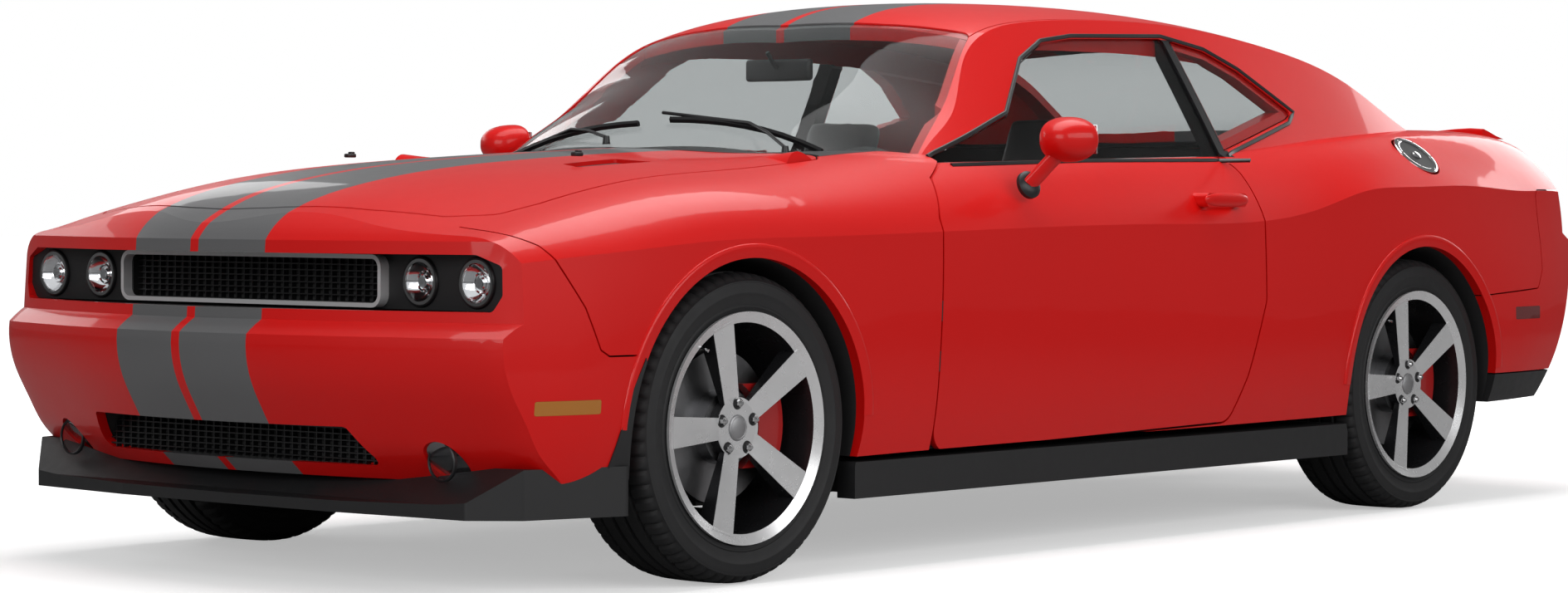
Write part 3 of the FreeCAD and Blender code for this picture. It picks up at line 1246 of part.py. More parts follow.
def make_caliper(axle, track, side):
    """Caliper bridging the rear edge of the disc."""
    hat_face = rim_half - d.spoke_inset - d.spoke_depth - d.seat_clearance
    rotor_in = hat_face - d.hat_depth
    centre = Vector(axle, side * track / 2, hub_height)
    outward = Vector(0, side, 0)
    wall = d.caliper_wall
    low = rotor_in - wall
    high = rotor_in + d.disc_wall + wall
    ring = Part.makeCylinder(d.disc_radius + wall * 0.6, high - low, centre + outward * low, outward)
    ring = ring.cut(Part.makeCylinder(d.disc_radius * 0.62, high - low, centre + outward * low, outward))
    groove = Part.makeCylinder(d.disc_radius + d.brake_gap, d.disc_wall + d.brake_gap * 2,
                               centre + outward * (rotor_in - d.brake_gap), outward)
    window = box_between((-d.disc_radius * 1.3, -d.disc_radius * 2, -d.disc_radius * 0.55),
                         (-d.disc_radius * 0.3, d.disc_radius * 2, d.disc_radius * 0.55))
    window.translate(centre)
    foot = low if side > 0 else d.brake_gap - rotor_in
    bracket = box_between((-d.disc_radius * 0.7, foot, -d.disc_radius * 0.3),
                          (-d.hat_radius * 0.6, foot + wall - d.brake_gap, d.disc_radius * 0.3))
    bracket.translate(centre)
    flange = Part.makeCylinder(d.hat_radius + d.seat_clearance, d.tyre_width, centre + outward * (low - wall), outward)
    return ring.cut(groove).common(window).fuse(bracket.cut(flange))


for side, word in ((1, "left"), (-1, "right")):
    add_shape(f"front_knuckle_{word}", make_knuckle(front_axle, d.track_front, side).fuse(ball_pins(side)))
    add_shape(f"front_caliper_{word}", make_caliper(front_axle, d.track_front, side))
add_shape("rear_hubs", Part.makeCompound([make_knuckle(rear_axle, d.track_rear, s) for s in (1, -1)]))
add_shape("rear_calipers", Part.makeCompound([make_caliper(rear_axle, d.track_rear, s) for s in (1, -1)]))


# Lamps and grilles
def bar_grid(label, low, high, pitch_y, pitch_z):
    """Grille of upright and level bars inside a box."""
    bars = []
    rows = int((high[2] - low[2]) / pitch_z)
    columns = int((high[1] - low[1]) / pitch_y)
    wall = d.grille_bar
    for row in range(1, rows + 1):
        z = low[2] + (high[2] - low[2]) * row / (rows + 1)
        bars.append(box_between((low[0], low[1], z - wall / 2), (high[0], high[1], z + wall / 2)))
    for column in range(1, columns + 1):
        y = low[1] + (high[1] - low[1]) * column / (columns + 1)
        bars.append(box_between((low[0], y - wall / 2, low[2]), (high[0], y + wall / 2, high[2])))
    return bars[0].fuse(bars[1:])


lamp_low = 0.445 * d.overall_height
lamp_high = 0.532 * d.overall_height
lamp_middle = (lamp_low + lamp_high) / 2
LAMP_PLACE_SHARES = [(0.771, 0.737), (0.583, 0.749)]
lamp_radius = (lamp_high - lamp_low) * 0.42


def make_lamp_panel():
    """Black panel that closes the lamp and grille opening."""
    front = front_prism(front_outline(LAMP_OPENING_SHARES), lamp_back + d.seat_clearance,
                        lamp_back + d.lamp_panel_wall, corner_round / 4, -d.seat_clearance)
    holes = [lamp_cylinder(shares, d.seat_clearance, d.lamp_panel_wall * 3) for shares in LAMP_PLACE_SHARES]
    holes += [other_side(hole) for hole in holes]
    window = box_between((lamp_back - d.overrun, -grille_half, lamp_low + d.grille_rim),
                         (far_front, grille_half, lamp_high - d.grille_rim))
    return front.common(outer_body).cut(holes + [window])


def lamp_cylinder(shares, clearance, length):
    """Round lamp body facing forward."""
    start = Vector(lamp_back + d.seat_clearance, shares[0] * half_width, lamp_middle)
    return Part.makeCylinder(lamp_radius + clearance, length, start, Vector(1, 0, 0))


grille_half = 0.46 * half_width


def make_headlamp(shares):
    """Round lamp: a bowl with its bulb."""
    depth = d.lamp_panel_wall * 1.2
    bowl_radius = lamp_radius * 1.05
    front = Vector(lamp_back + depth, shares[0] * half_width, lamp_middle)
    bowl = Part.makeSphere(bowl_radius, front + Vector(bowl_radius * 0.6, 0, 0))
    bulb = rod(front - Vector(depth * 0.9, 0, 0), front - Vector(depth * 0.25, 0, 0), d.bulb_radius)
    return lamp_cylinder(shares, 0, depth).cut(bowl).fuse(bulb)


def make_fog_lamp():
    """Left fog lamp behind the surface of the cover."""
    back = box_between((front_axle, 0, 0), (front_axle + d.front_overhang * 0.67, half_width, d.overall_height))
    return fog_cylinder(0).common(lens_form).cut(back)


def make_marker(shares):
    """Left side marker lens."""
    return marker_prism(shares, 0).common(outer_body).cut(lens_form)


def make_surround():
    """Rounded frame round the upper grille."""
    half = grille_half + d.grille_rim
    front = lamp_back + d.lamp_panel_wall + d.seat_clearance
    corners = [(-half, lamp_low + d.grille_bar), (half, lamp_low + d.grille_bar), (half, lamp_high - d.grille_bar),
               (-half, lamp_high - d.grille_bar)]
    outside = front_prism(corners, front, front + d.surround_depth, corner_round / 2)
    inside = front_prism(corners, front - d.overrun, far_front, corner_round / 2, -d.surround_wall)
    return outside.cut(inside).common(lens_form)


lamps = [make_headlamp(shares) for shares in LAMP_PLACE_SHARES]
add_shape("headlamps", Part.makeCompound(lamps + [other_side(lamp) for lamp in lamps]))
add_shape("lamp_panel", make_lamp_panel())
grid_low = (lamp_back + d.seat_clearance, -grille_half + d.seat_clearance, lamp_low + d.grille_rim + d.seat_clearance)
grid_high = (lamp_back + d.lamp_panel_wall / 2, grille_half - d.seat_clearance,
             lamp_high - d.grille_rim - d.seat_clearance)
intake_low = 0.203 * d.overall_height
intake_high = 0.264 * d.overall_height
intake_half = 0.50 * half_width
lower_grid = bar_grid("lower", (intake_back + d.seat_clearance, -intake_half, intake_low - d.overrun),
                      (intake_back + d.lamp_panel_wall / 2, intake_half, intake_high + d.overrun),
                      d.grille_pitch * 2, d.grille_pitch)
lower_grid = lower_grid.common(front_prism(front_outline(INTAKE_SHARES), intake_back, far_front, corner_round / 4,
                                           -d.seat_clearance))
upper_grid = bar_grid("upper", grid_low, grid_high, d.grille_pitch * 2, d.grille_pitch)
add_shape("front_grille", Part.makeCompound([upper_grid, lower_grid, make_surround()]))
add_shape("fog_lamps", both_sides(make_fog_lamp()))
markers = [make_marker(FRONT_MARKER_SHARES), make_marker(REAR_MARKER_SHARES)]
add_shape("side_markers", Part.makeCompound(markers + [other_side(marker) for marker in markers]))
tail_panel = front_prism(front_outline(TAIL_LAMP_SHARES), tail_back - d.tail_lamp_depth, tail_back - d.seat_clearance,
                         0, -d.seat_clearance)
add_shape("tail_lamps", tail_panel.common(outer_body))


# Splitter and skirts
SPLITTER_SHARES = [
    (-0.836, 0.000), (-0.828, 0.400), (-0.792, 0.780), (-0.700, 0.880), (-0.420, 0.962), (-0.400, 0.800),
    (-0.700, 0.700), (-0.740, 0.000),
]
SPLITTER_SIDE_SHARES = [
    (-0.850, 0.128), (-0.850, 0.143), (-0.800, 0.150), (-0.700, 0.205), (-0.300, 0.205), (-0.300, 0.120),
    (-0.700, 0.120),
]
SKIRT_SHARES = [(0.130, 0.965), (0.870, 0.965), (0.870, 0.700), (0.130, 0.700)]
splitter_outline = symmetric_outline([on_plan(*shares) for shares in SPLITTER_SHARES])
ARCH_FLAP_SHARES = [
    (-0.510, 0.140), (-0.462, 0.251), (-0.430, 0.322), (-0.388, 0.372), (-0.370, 0.300), (-0.370, 0.140),
]


def make_splitter():
    """Front splitter: a blade that rises to the chin, fitted under the body."""
    blade = plan_prism(splitter_outline, corner_round / 4, 0, d.splitter_level, d.splitter_top)
    rise = [at(*shares) for shares in SPLITTER_SIDE_SHARES]
    wedge = side_prism(rise, 0, 0, -half_width, half_width)
    flap = flap_form.common(side_prism([at(*shares) for shares in ARCH_FLAP_SHARES], 0, 0, d.rear_well_inner))
    flap = flap.cut(side_seat)
    return carve(blade.common(wedge).cut(body_seat).fuse([flap, other_side(flap)]), wells)


add_shape("front_splitter", make_splitter())
skirt = plan_prism([on_plan(*shares) for shares in SKIRT_SHARES], 0, 0, d.skirt_level, d.rocker_top)
rocker_room = box_between((-half_length, 0, 0), (half_length, d.rocker_half + d.seat_clearance, d.overall_height))
skirt = carve(skirt, [rocker_room, front_well, rear_well])
add_shape("side_skirts", both_sides(skirt))


# Cabin
SEAT_X_SHARE = 0.47
seat_x = along(SEAT_X_SHARE)


def make_seat(middle_y):
    """Bucket seat: cushion, back and head restraint."""
    half = d.seat_width / 2
    cushion = box_between((seat_x - d.seat_depth / 2, middle_y - half, d.floor_level),
                          (seat_x + d.seat_depth / 2, middle_y + half, d.floor_level + d.cushion_height))
    back = box_between((-d.back_wall / 2, -half, 0), (d.back_wall / 2, half, d.back_height))
    head = box_between((-d.back_wall / 3, -half * 0.45, d.back_height - d.overrun),
                       (d.back_wall / 3, half * 0.45, d.back_height + d.head_height))
    upper = back.fuse(head)
    upper.Placement = Placement(Vector(seat_x - d.seat_depth / 2 + d.back_wall / 3, middle_y,
                                       d.floor_level + d.cushion_height * 0.6), Rotation(Vector(0, 1, 0), -22))
    return cushion.fuse(upper).removeSplitter()


add_shape("front_seats", both_sides(make_seat(d.seat_middle)))
rear_cushion = box_between((d.cabin_rear + d.overrun * 2, -d.rear_seat_half, d.floor_level + d.seat_clearance),
                           (d.cabin_rear + d.overrun * 2 + d.seat_depth * 0.9, d.rear_seat_half,
                            d.floor_level + d.cushion_height))
rear_back = box_between((d.cabin_rear + d.seat_clearance, -d.rear_seat_half, d.floor_level + d.seat_clearance),
                        (d.cabin_rear + d.overrun * 2, d.rear_seat_half,
                         d.floor_level + d.cushion_height + d.back_height * 0.75))
hump_room = box_between((-half_length, -d.tunnel_half - d.seat_clearance, 0),
                        (half_length, d.tunnel_half + d.seat_clearance, d.tunnel_top + d.seat_clearance))
add_shape("rear_seat", rear_cushion.fuse(rear_back).removeSplitter().cut(hump_room))
dash_rear = d.cabin_front - d.dash_depth
DASH_WIDTH_SHARE = 0.765
dash_half = half_width * DASH_WIDTH_SHARE
dash = box_between((dash_rear, -dash_half, d.dash_low), (d.cabin_front - d.seat_clearance, dash_half, d.dash_high))
console = box_between((seat_x - d.seat_depth * 0.2, -d.console_half, d.floor_level + d.seat_clearance),
                      (dash_rear + d.overrun, d.console_half, d.floor_level + d.console_height))
wheel_centre = Vector(dash_rear - d.column_length, d.seat_middle, d.steering_wheel_height)
column_axis = Vector(cos(radians(d.column_tilt)), 0, -sin(radians(d.column_tilt)))
rim = Part.makeTorus(d.steering_wheel_radius, d.steering_rim_radius, wheel_centre, column_axis)
hub = Part.makeCylinder(d.steering_rim_radius * 4, d.steering_rim_radius * 2,
                        wheel_centre - column_axis * d.steering_rim_radius, column_axis)
spoke = Part.makeCylinder(d.steering_rim_radius * 0.8, d.steering_wheel_radius * 2,
                          wheel_centre - Vector(0, d.steering_wheel_radius, 0), Vector(0, 1, 0))
column_reach = (dash_rear - wheel_centre.x) / cos(radians(d.column_tilt)) + d.upright_wall
column = Part.makeCylinder(d.steering_rim_radius, column_reach, wheel_centre, column_axis)
column_bore = Part.makeCylinder(d.steering_rim_radius + d.pin_clearance, column_reach + d.pin_room, wheel_centre,
                                column_axis)
add_shape("dashboard", carve(dash.fuse(console).removeSplitter(), [hump_room, column_bore]))
steering = rim.fuse([hub, spoke, column])
add_shape("steering_wheel", steering)


# Running gear
box_part("engine_block", (d.bay_rear + d.overrun, -d.engine_half, d.bay_floor),
         (d.bay_rear + d.overrun + d.engine_length, d.engine_half, d.bay_floor + d.engine_height))


hub_face = rim_half - d.spoke_inset - d.spoke_depth - d.hat_depth - d.upright_wall - d.seat_clearance * 3


def make_front_arms(side):
    """Upper arm of one front wheel and the lower one up to the crossmember, each round its ball joint pin."""
    parts = []
    for place, start in zip(ball_places(side), (d.front_well_inner + d.seat_clearance, d.beam_end - d.arm_radius)):
        foot = Vector(front_axle, side * start, place.z)
        boss = Part.makeCylinder(d.ball_boss_radius, d.arm_radius * 2, place - Vector(0, 0, d.arm_radius))
        bore = Part.makeCylinder(d.ball_pin_radius + d.pin_clearance, d.arm_radius * 4,
                                 place - Vector(0, 0, d.arm_radius * 2))
        parts.append(rod(foot, place, d.arm_radius).fuse(boss).cut(bore))
    return parts


def make_crossmember(axle, level):
    """Beam across the car under one axle, fitted to the underside."""
    beam = box_between((axle - d.beam_half, -d.beam_end, level), (axle + d.beam_half, d.beam_end, d.floor_level))
    return beam.cut(body_seat)


def make_rear_arms(side):
    """Upper arm of one rear wheel and the lower one up to the crossmember."""
    reach = side * (d.track_rear / 2 + hub_face)
    parts = []
    for rise, start in ((0.38, d.rear_well_inner + d.seat_clearance), (-0.38, d.beam_end - d.arm_radius)):
        level = hub_height + d.upright_height * rise
        parts.append(rod(Vector(rear_axle, side * start, level), Vector(rear_axle, reach, level), d.arm_radius))
    return parts


def make_driveline():
    """Propeller shaft, differential and half shafts."""
    centre = Vector(rear_axle, 0, hub_height)
    case = Part.makeCylinder(d.differential_radius, d.differential_radius * 1.6,
                             centre - Vector(0, d.differential_radius * 0.8, 0), Vector(0, 1, 0))
    reach = d.track_rear / 2 + hub_face
    axle = Part.makeCylinder(d.half_shaft_radius, reach * 2, centre - Vector(0, reach, 0), Vector(0, 1, 0))
    level = d.bay_floor - d.shaft_radius * 0.3
    shaft = rod(centre - Vector(0, 0, d.differential_radius * 0.8),
                Vector(d.bay_rear + d.overrun - d.seat_clearance * 4, 0, level), d.shaft_radius)
    return case.fuse([axle, shaft])


def make_exhaust():
    """Left exhaust pipe along the floor, silencer and tip."""
    level = d.floor_under - d.pipe_radius - d.seat_clearance
    low = level - d.pipe_radius * 0.6
    silencer_front = rear_axle - d.rear_arch_radius
    silencer_rear = far_rear + d.overrun * 5
    pipe = rod(Vector(d.bay_rear, d.pipe_y, level), Vector(silencer_front - d.overrun, d.pipe_y, level), d.pipe_radius)
    silencer = box_between((silencer_rear, d.pipe_y - d.tip_radius * 1.5, low),
                           (silencer_front, d.pipe_y + d.tip_radius * 3, d.floor_level + d.tip_radius)).cut(body_seat)
    start = Vector(silencer_rear + d.overrun, d.pipe_y + d.tip_radius * 1.5, level + d.tip_radius)
    tip = rod(start, start - Vector(d.overrun * 5.4, 0, 0), d.tip_radius)
    bore = rod(start - Vector(d.overrun * 2, 0, 0), start - Vector(d.overrun * 6, 0, 0), d.tip_radius - d.filler_wall)
    return pipe.fuse([silencer, tip]).cut(bore)


front_beam = make_crossmember(front_axle, d.beam_level)
rear_beam = make_crossmember(rear_axle, d.rear_beam_level)
rear_beam = rear_beam.cut(box_between((rear_axle - d.overrun, -d.differential_radius - d.overrun, hub_height / 2),
                                      (rear_axle + d.overrun, d.differential_radius + d.overrun, hub_height)))
lower = []
upper = []
for side in (1, -1):
    for arms, beam in ((make_front_arms(side), front_beam), (make_rear_arms(side), rear_beam)):
        upper.append(arms[0])
        lower.append(arms[1])
add_shape("suspension", Part.makeCompound(upper + [front_beam.fuse(lower[0::2]), rear_beam.fuse(lower[1::2])]))
add_shape("driveline", make_driveline())
add_shape("exhaust", both_sides(make_exhaust()))


# Check and write the nodes
doc.recompute()
for item in doc.Objects:
    if "Invalid" in item.State or "Error" in item.State:
        raise RuntimeError(f"{item.Label} failed")
os.makedirs("parts", exist_ok=True)
for node in nodes:
    if node.Shape.isNull() or not node.Shape.isValid():
        raise RuntimeError(f"{node.Label} has no valid shape")
    node.Shape.exportStep(f"parts/{node.Label}.step")
print(len(nodes), "nodes")
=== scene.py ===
import logging
import math
from dataclasses import dataclass
from enum import Enum
from typing import ClassVar

import bmesh
import bpy
from mathutils import Matrix, Vector
from mathutils.bvhtree import BVHTree


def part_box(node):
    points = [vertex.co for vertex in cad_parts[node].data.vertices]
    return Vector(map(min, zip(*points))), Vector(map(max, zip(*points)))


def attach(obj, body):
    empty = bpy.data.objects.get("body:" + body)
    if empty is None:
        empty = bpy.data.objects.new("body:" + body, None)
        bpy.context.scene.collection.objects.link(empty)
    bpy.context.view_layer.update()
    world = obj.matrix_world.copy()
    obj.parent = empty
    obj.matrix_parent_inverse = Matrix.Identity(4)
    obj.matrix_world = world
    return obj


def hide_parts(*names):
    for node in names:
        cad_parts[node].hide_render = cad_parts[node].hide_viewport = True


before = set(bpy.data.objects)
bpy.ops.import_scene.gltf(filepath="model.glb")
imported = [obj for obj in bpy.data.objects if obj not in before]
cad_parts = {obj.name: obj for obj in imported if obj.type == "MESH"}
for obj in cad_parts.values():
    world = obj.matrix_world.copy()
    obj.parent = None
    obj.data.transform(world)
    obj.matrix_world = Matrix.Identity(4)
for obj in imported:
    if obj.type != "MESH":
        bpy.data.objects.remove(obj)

log = logging.getLogger("muscle_car")
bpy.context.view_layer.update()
PHOTO_WIDTH = 1889

Colour = tuple[float, float, float]
Place = tuple[float, float, float] | Vector
Outline = tuple[tuple[float, float], ...]
Socket = bpy.types.NodeSocket
Vert = bmesh.types.BMVert

# Sides of the car, as the sign of Y, with their names
SIDES = ((1, "left"), (-1, "right"))
UP = Vector((0.0, 0.0, 1.0))


def middle_of(box: tuple[Place, Place]) -> tuple[float, float, float]:
    """Gives the middle of a box of two corners."""
    return tuple((low + high) / 2 for low, high in zip(*box))


def shade(colour: Colour, share: float) -> Colour:
    """Makes a colour lighter or darker."""
    return tuple(channel * share for channel in colour)


def squared_off(share: float, power: float) -> float:
    """Pushes a share of a half width outwards, for a power under one."""
    return math.copysign(abs(share) ** power, share)


# Materials
class Nodes:
    """Short hand for the nodes of one material."""

    def __init__(self, name: str) -> None:
        """Starts a material with its Principled shader.

        Args:
            name: Name of the material.
        """
        self.material = bpy.data.materials.new(name)
        self.material.use_nodes = True
        self.tree = self.material.node_tree
        self.shader = self.tree.nodes["Principled BSDF"]
        self.place = self.add("ShaderNodeTexCoord").outputs["Object"]

    def add(self, kind: str, **settings: object) -> bpy.types.Node:
        """Adds a node and sets its properties.

        Args:
            kind: Blender's name of the node type.
            **settings: Properties of the node by name.

        Returns:
            The new node.
        """
        node = self.tree.nodes.new(kind)
        for name, value in settings.items():
            setattr(node, name, value)
        return node

    def join(self, source: Socket, target: Socket) -> None:
        """Links an output to an input."""
        self.tree.links.new(source, target)

    def feed(self, name: str, source: Socket) -> None:
        """Links an output to a socket of the shader."""
        self.join(source, self.shader.inputs[name])

    def set(self, **values: object) -> None:
        """Sets constant sockets of the shader, spaces in their names written as underscores."""
        for name, value in values.items():
            self.shader.inputs[name.replace("_", " ")].default_value = value

    def math(self, operation: str, first: Socket | float, second: Socket | float = 0.0) -> Socket:
        """Adds a Math node.

        Args:
            operation: Name of the operation.
            first: Socket or number for the first input.
            second: Socket or number for the second input.

        Returns:
            The value socket.
        """
        node = self.add("ShaderNodeMath", operation=operation)
        for socket, value in zip(node.inputs, (first, second)):
            if isinstance(value, Socket):
                self.join(value, socket)
            else:
                socket.default_value = value
        return node.outputs[0]

    def noise(self, scale: float, detail: float = 2.0) -> Socket:
        """Adds a noise texture in Object coordinates.

        Args:
            scale: Scale of the noise.
            detail: Detail of the noise.

        Returns:
            The value socket.
        """
        node = self.add("ShaderNodeTexNoise")
        node.inputs["Scale"].default_value = scale
        node.inputs["Detail"].default_value = detail
        self.join(self.place, node.inputs["Vector"])
        return node.outputs[0]

    def spread(self, value: Socket, low: float, high: float, start: float = 0.0, end: float = 1.0) -> Socket:
        """Maps one range of a value to another.

        Args:
            value: The value to map.
            low: Result at the start of the range.
            high: Result at its end.
            start: Value that gives the low result.
            end: Value that gives the high result.

        Returns:
            The mapped value's socket.
        """
        node = self.add("ShaderNodeMapRange")
        self.join(value, node.inputs["Value"])
        for name, limit in (("From Min", start), ("From Max", end), ("To Min", low), ("To Max", high)):
            node.inputs[name].default_value = limit
        return node.outputs[0]

    def blend(self, share: Socket, first: Socket | Colour, second: Socket | Colour) -> Socket:
        """Mixes two colours.

        Args:
            share: How much of the second colour.
            first: Colour or socket.
            second: Colour or socket.

        Returns:
            The colour socket.
        """
        node = self.add("ShaderNodeMix", data_type="RGBA")
        self.join(share, node.inputs["Factor"])
        for socket, value in ((node.inputs[6], first), (node.inputs[7], second)):
            if isinstance(value, Socket):
                self.join(value, socket)
            else:
                socket.default_value = (*value, 1.0)
        return node.outputs[2]

    def bump(self, height: Socket, strength: float, depth: float) -> None:
        """Feeds a height into the shader's normal.

        Args:
            height: The height, 0 to 1.
            strength: How much of the relief shows.
            depth: Depth of the relief in metres.
        """
        node = self.add("ShaderNodeBump")
        node.inputs["Strength"].default_value = strength
        node.inputs["Distance"].default_value = depth
        self.join(height, node.inputs["Height"])
        self.feed("Normal", node.outputs[0])

    def axis(self, name: str, middle: float = 0.0) -> Socket:
        """Gives one Object coordinate as a distance from a middle.

        Args:
            name: The coordinate, X, Y or Z.
            middle: Where the distance is zero.

        Returns:
            The value socket.
        """
        node = self.add("ShaderNodeSeparateXYZ")
        self.join(self.place, node.inputs[0])
        return self.math("SUBTRACT", node.outputs[name], middle)

    def off_axle(self, centre: Place) -> Socket:
        """Gives the distance from an axle.

        Args:
            centre: A point on the axle, which lies along Y.

        Returns:
            The value socket.
        """
        across = self.axis("X", centre[0])
        up = self.axis("Z", centre[2])
        squares = self.math("ADD", self.math("MULTIPLY", across, across), self.math("MULTIPLY", up, up))
        return self.math("SQRT", squares)


@dataclass(frozen=True)
class Finish:
    """A plain finish with fine texture.

    Each special finish extends it, and may have its own patches, wear and grain.

    Attributes:
        name: Name of the material.
        colour: Base colour, linear.
        roughness: Mean roughness.
        metallic: Metal share.
        grain: Scale of the fine texture.
        relief: Depth of the fine texture in metres.
        coat: Clear coat weight.
        coat_roughness: Roughness of the clear coat.
        patch_scale: Scale of the soft patches of colour.
        patch_detail: Detail of those patches.
        darkest: Share of the base colour in the darkest patch.
        wear_scale: Scale of the changes in roughness.
        wear: Largest change in roughness, as a share of the mean.
        grain_detail: Detail of the fine texture.
        grain_strength: How much of the fine texture shows.
    """

    name: str
    colour: Colour
    roughness: float = 0.5
    metallic: float = 0.0
    grain: float = 600.0
    relief: float = 0.0002
    coat: float = 0.0
    coat_roughness: ClassVar[float] = 0.04
    patch_scale: ClassVar[float] = 7.0
    patch_detail: ClassVar[float] = 4.0
    darkest: ClassVar[float] = 0.8
    wear_scale: ClassVar[float] = 30.0
    wear: ClassVar[float] = 0.15
    grain_detail: ClassVar[float] = 3.0
    grain_strength: ClassVar[float] = 0.6

    def make(self) -> bpy.types.Material:
        """Builds the material.

        Returns:
            The material.
        """
        nodes = Nodes(self.name)
        nodes.set(Metallic=self.metallic, Coat_Weight=self.coat, Coat_Roughness=self.coat_roughness)
        self.colouring(nodes)
        self.surface(nodes)
        return nodes.material

    def patches(self, nodes: Nodes) -> Socket:
        """Gives the base colour in soft patches."""
        patch = nodes.noise(self.patch_scale, self.patch_detail)
        return nodes.blend(patch, shade(self.colour, self.darkest), self.colour)

    def colouring(self, nodes: Nodes) -> None:
        """Varies the base colour a little over the piece."""
        nodes.feed("Base Color", self.patches(nodes))

    def roughen(self, nodes: Nodes) -> None:
        """Varies the roughness.

        Args:
            nodes: Nodes of the material.
        """
        least = self.roughness * (1 - self.wear)
        most = min(1.0, self.roughness * (1 + self.wear))
        nodes.feed("Roughness", nodes.spread(nodes.noise(self.wear_scale), least, most))

    def surface(self, nodes: Nodes) -> None:
        """Varies the roughness and adds the fine relief.

        Args:
            nodes: Nodes of the material.
        """
        self.roughen(nodes)
        if self.relief > 0:
            nodes.bump(nodes.noise(self.grain, self.grain_detail), self.grain_strength, self.relief)


@dataclass(frozen=True)
class BodyPaint(Finish):
    """Gloss paint with the two stripes along the middle of the car.

    Attributes:
        stripe: Colour of the stripes.
        stripe_inner: Distance of a stripe's inner edge from the middle of the car.
        stripe_outer: Distance of its outer edge.
        flake_scale: Scale of the metal flakes in the stripes.
        flake_shades: Shares of the stripe's colour in the darkest and lightest flakes.
        specular: Specular level of the paint under its coat.
    """

    stripe: Colour = (0.115, 0.115, 0.118)
    stripe_inner: float = 0.014
    stripe_outer: float = 0.227
    wear_scale: ClassVar[float] = 25.0
    wear: ClassVar[float] = 0.05
    grain_detail: ClassVar[float] = 1.0
    grain_strength: ClassVar[float] = 0.04
    flake_scale: ClassVar[float] = 2500.0
    flake_shades: ClassVar[tuple[float, float]] = (0.8, 1.3)
    specular: ClassVar[float] = 0.22

    def colouring(self, nodes: Nodes) -> None:
        """Paints the stripes by the distance from the middle of the car.

        Args:
            nodes: Nodes of the material.
        """
        middle = (self.stripe_inner + self.stripe_outer) / 2
        half = (self.stripe_outer - self.stripe_inner) / 2
        from_stripe = nodes.math("SUBTRACT", nodes.math("ABSOLUTE", nodes.axis("Y")), middle)
        striped = nodes.math("LESS_THAN", nodes.math("ABSOLUTE", from_stripe), half)
        dark, light = (shade(self.stripe, share) for share in self.flake_shades)
        flakes = nodes.blend(nodes.noise(self.flake_scale), dark, light)
        nodes.feed("Base Color", nodes.blend(striped, self.colour, flakes))

    def surface(self, nodes: Nodes) -> None:
        """Gives smooth paint with a slight orange peel."""
        nodes.set(Specular_IOR_Level=self.specular)
        super().surface(nodes)


@dataclass(frozen=True)
class PillarPaint(BodyPaint):
    """Body paint whose pillar between the side windows is black.

    Attributes:
        black: Colour of the pillar.
        pillar_foot: X of the pillar's middle at its foot.
        pillar_half: Half of the pillar's width.
        pillar_lean: How far the pillar leans forward for each metre up.
        pillar_low: Height of its foot.
        pillar_high: Height of its head.
    """

    black: Colour = (0.008, 0.008, 0.009)
    pillar_foot: float = -0.559
    pillar_half: float = 0.036
    pillar_lean: float = 0.114
    pillar_low: float = 1.016
    pillar_high: float = 1.342

    def colouring(self, nodes: Nodes) -> None:
        """Blackens the pillar between two leaning lines, above the belt.

        Args:
            nodes: Nodes of the material.
        """
        super().colouring(nodes)
        painted = nodes.shader.inputs["Base Color"].links[0].from_socket
        height = nodes.axis("Z")
        lean = nodes.math("MULTIPLY", nodes.math("SUBTRACT", height, self.pillar_low), self.pillar_lean)
        off_middle = nodes.math("SUBTRACT", nodes.axis("X", self.pillar_foot), lean)
        pillar = nodes.math("LESS_THAN", nodes.math("ABSOLUTE", off_middle), self.pillar_half)
        over = nodes.math("GREATER_THAN", height, self.pillar_low)
        under = nodes.math("LESS_THAN", height, self.pillar_high)
        mask = nodes.math("MULTIPLY", pillar, nodes.math("MULTIPLY", over, under))
        nodes.feed("Base Color", nodes.blend(mask, painted, self.black))


@dataclass(frozen=True)
class SplitFinish(Finish):
    """Two colours and gloss levels, parted where an Object coordinate passes a value.

    Attributes:
        other: Colour beyond the parting.
        axis_name: The coordinate that parts them.
        parting: Where it parts them, in metres.
        other_metallic: Metal share beyond the parting.
        least_height: Height under which nothing is parted.
    """

    other: Colour = (0.0, 0.0, 0.0)
    axis_name: str = "X"
    parting: float = 0.0
    other_metallic: float = 0.0
    least_height: float = 0.0
    patch_scale: ClassVar[float] = 9.0
    patch_detail: ClassVar[float] = 3.0

    def colouring(self, nodes: Nodes) -> None:
        """Parts the colours and the metal.

        Args:
            nodes: Nodes of the material.
        """
        past = nodes.math("GREATER_THAN", nodes.axis(self.axis_name), self.parting)
        high = nodes.math("GREATER_THAN", nodes.axis("Z"), self.least_height)
        beyond = nodes.math("MULTIPLY", past, high)
        nodes.feed("Base Color", nodes.blend(beyond, self.patches(nodes), self.other))
        nodes.feed("Metallic", nodes.spread(beyond, self.metallic, self.other_metallic))


@dataclass(frozen=True)
class TintedGlass(Finish):
    """Clear glass with a tint.

    Attributes:
        bending: Index of refraction, kept low so that a pane mirrors little.
        haze_scale: Scale of the haze.
        haze: Roughness of the haze.
    """

    bending: ClassVar[float] = 1.12
    haze_scale: ClassVar[float] = 3.0
    haze: ClassVar[float] = 0.01

    def make(self) -> bpy.types.Material:
        """Builds the glass.

        Returns:
            The material.
        """
        nodes = Nodes(self.name)
        nodes.set(Base_Color=(*self.colour, 1.0), Transmission_Weight=1.0, IOR=self.bending)
        haze = nodes.spread(nodes.noise(self.haze_scale), self.roughness, self.roughness + self.haze)
        nodes.feed("Roughness", haze)
        return nodes.material


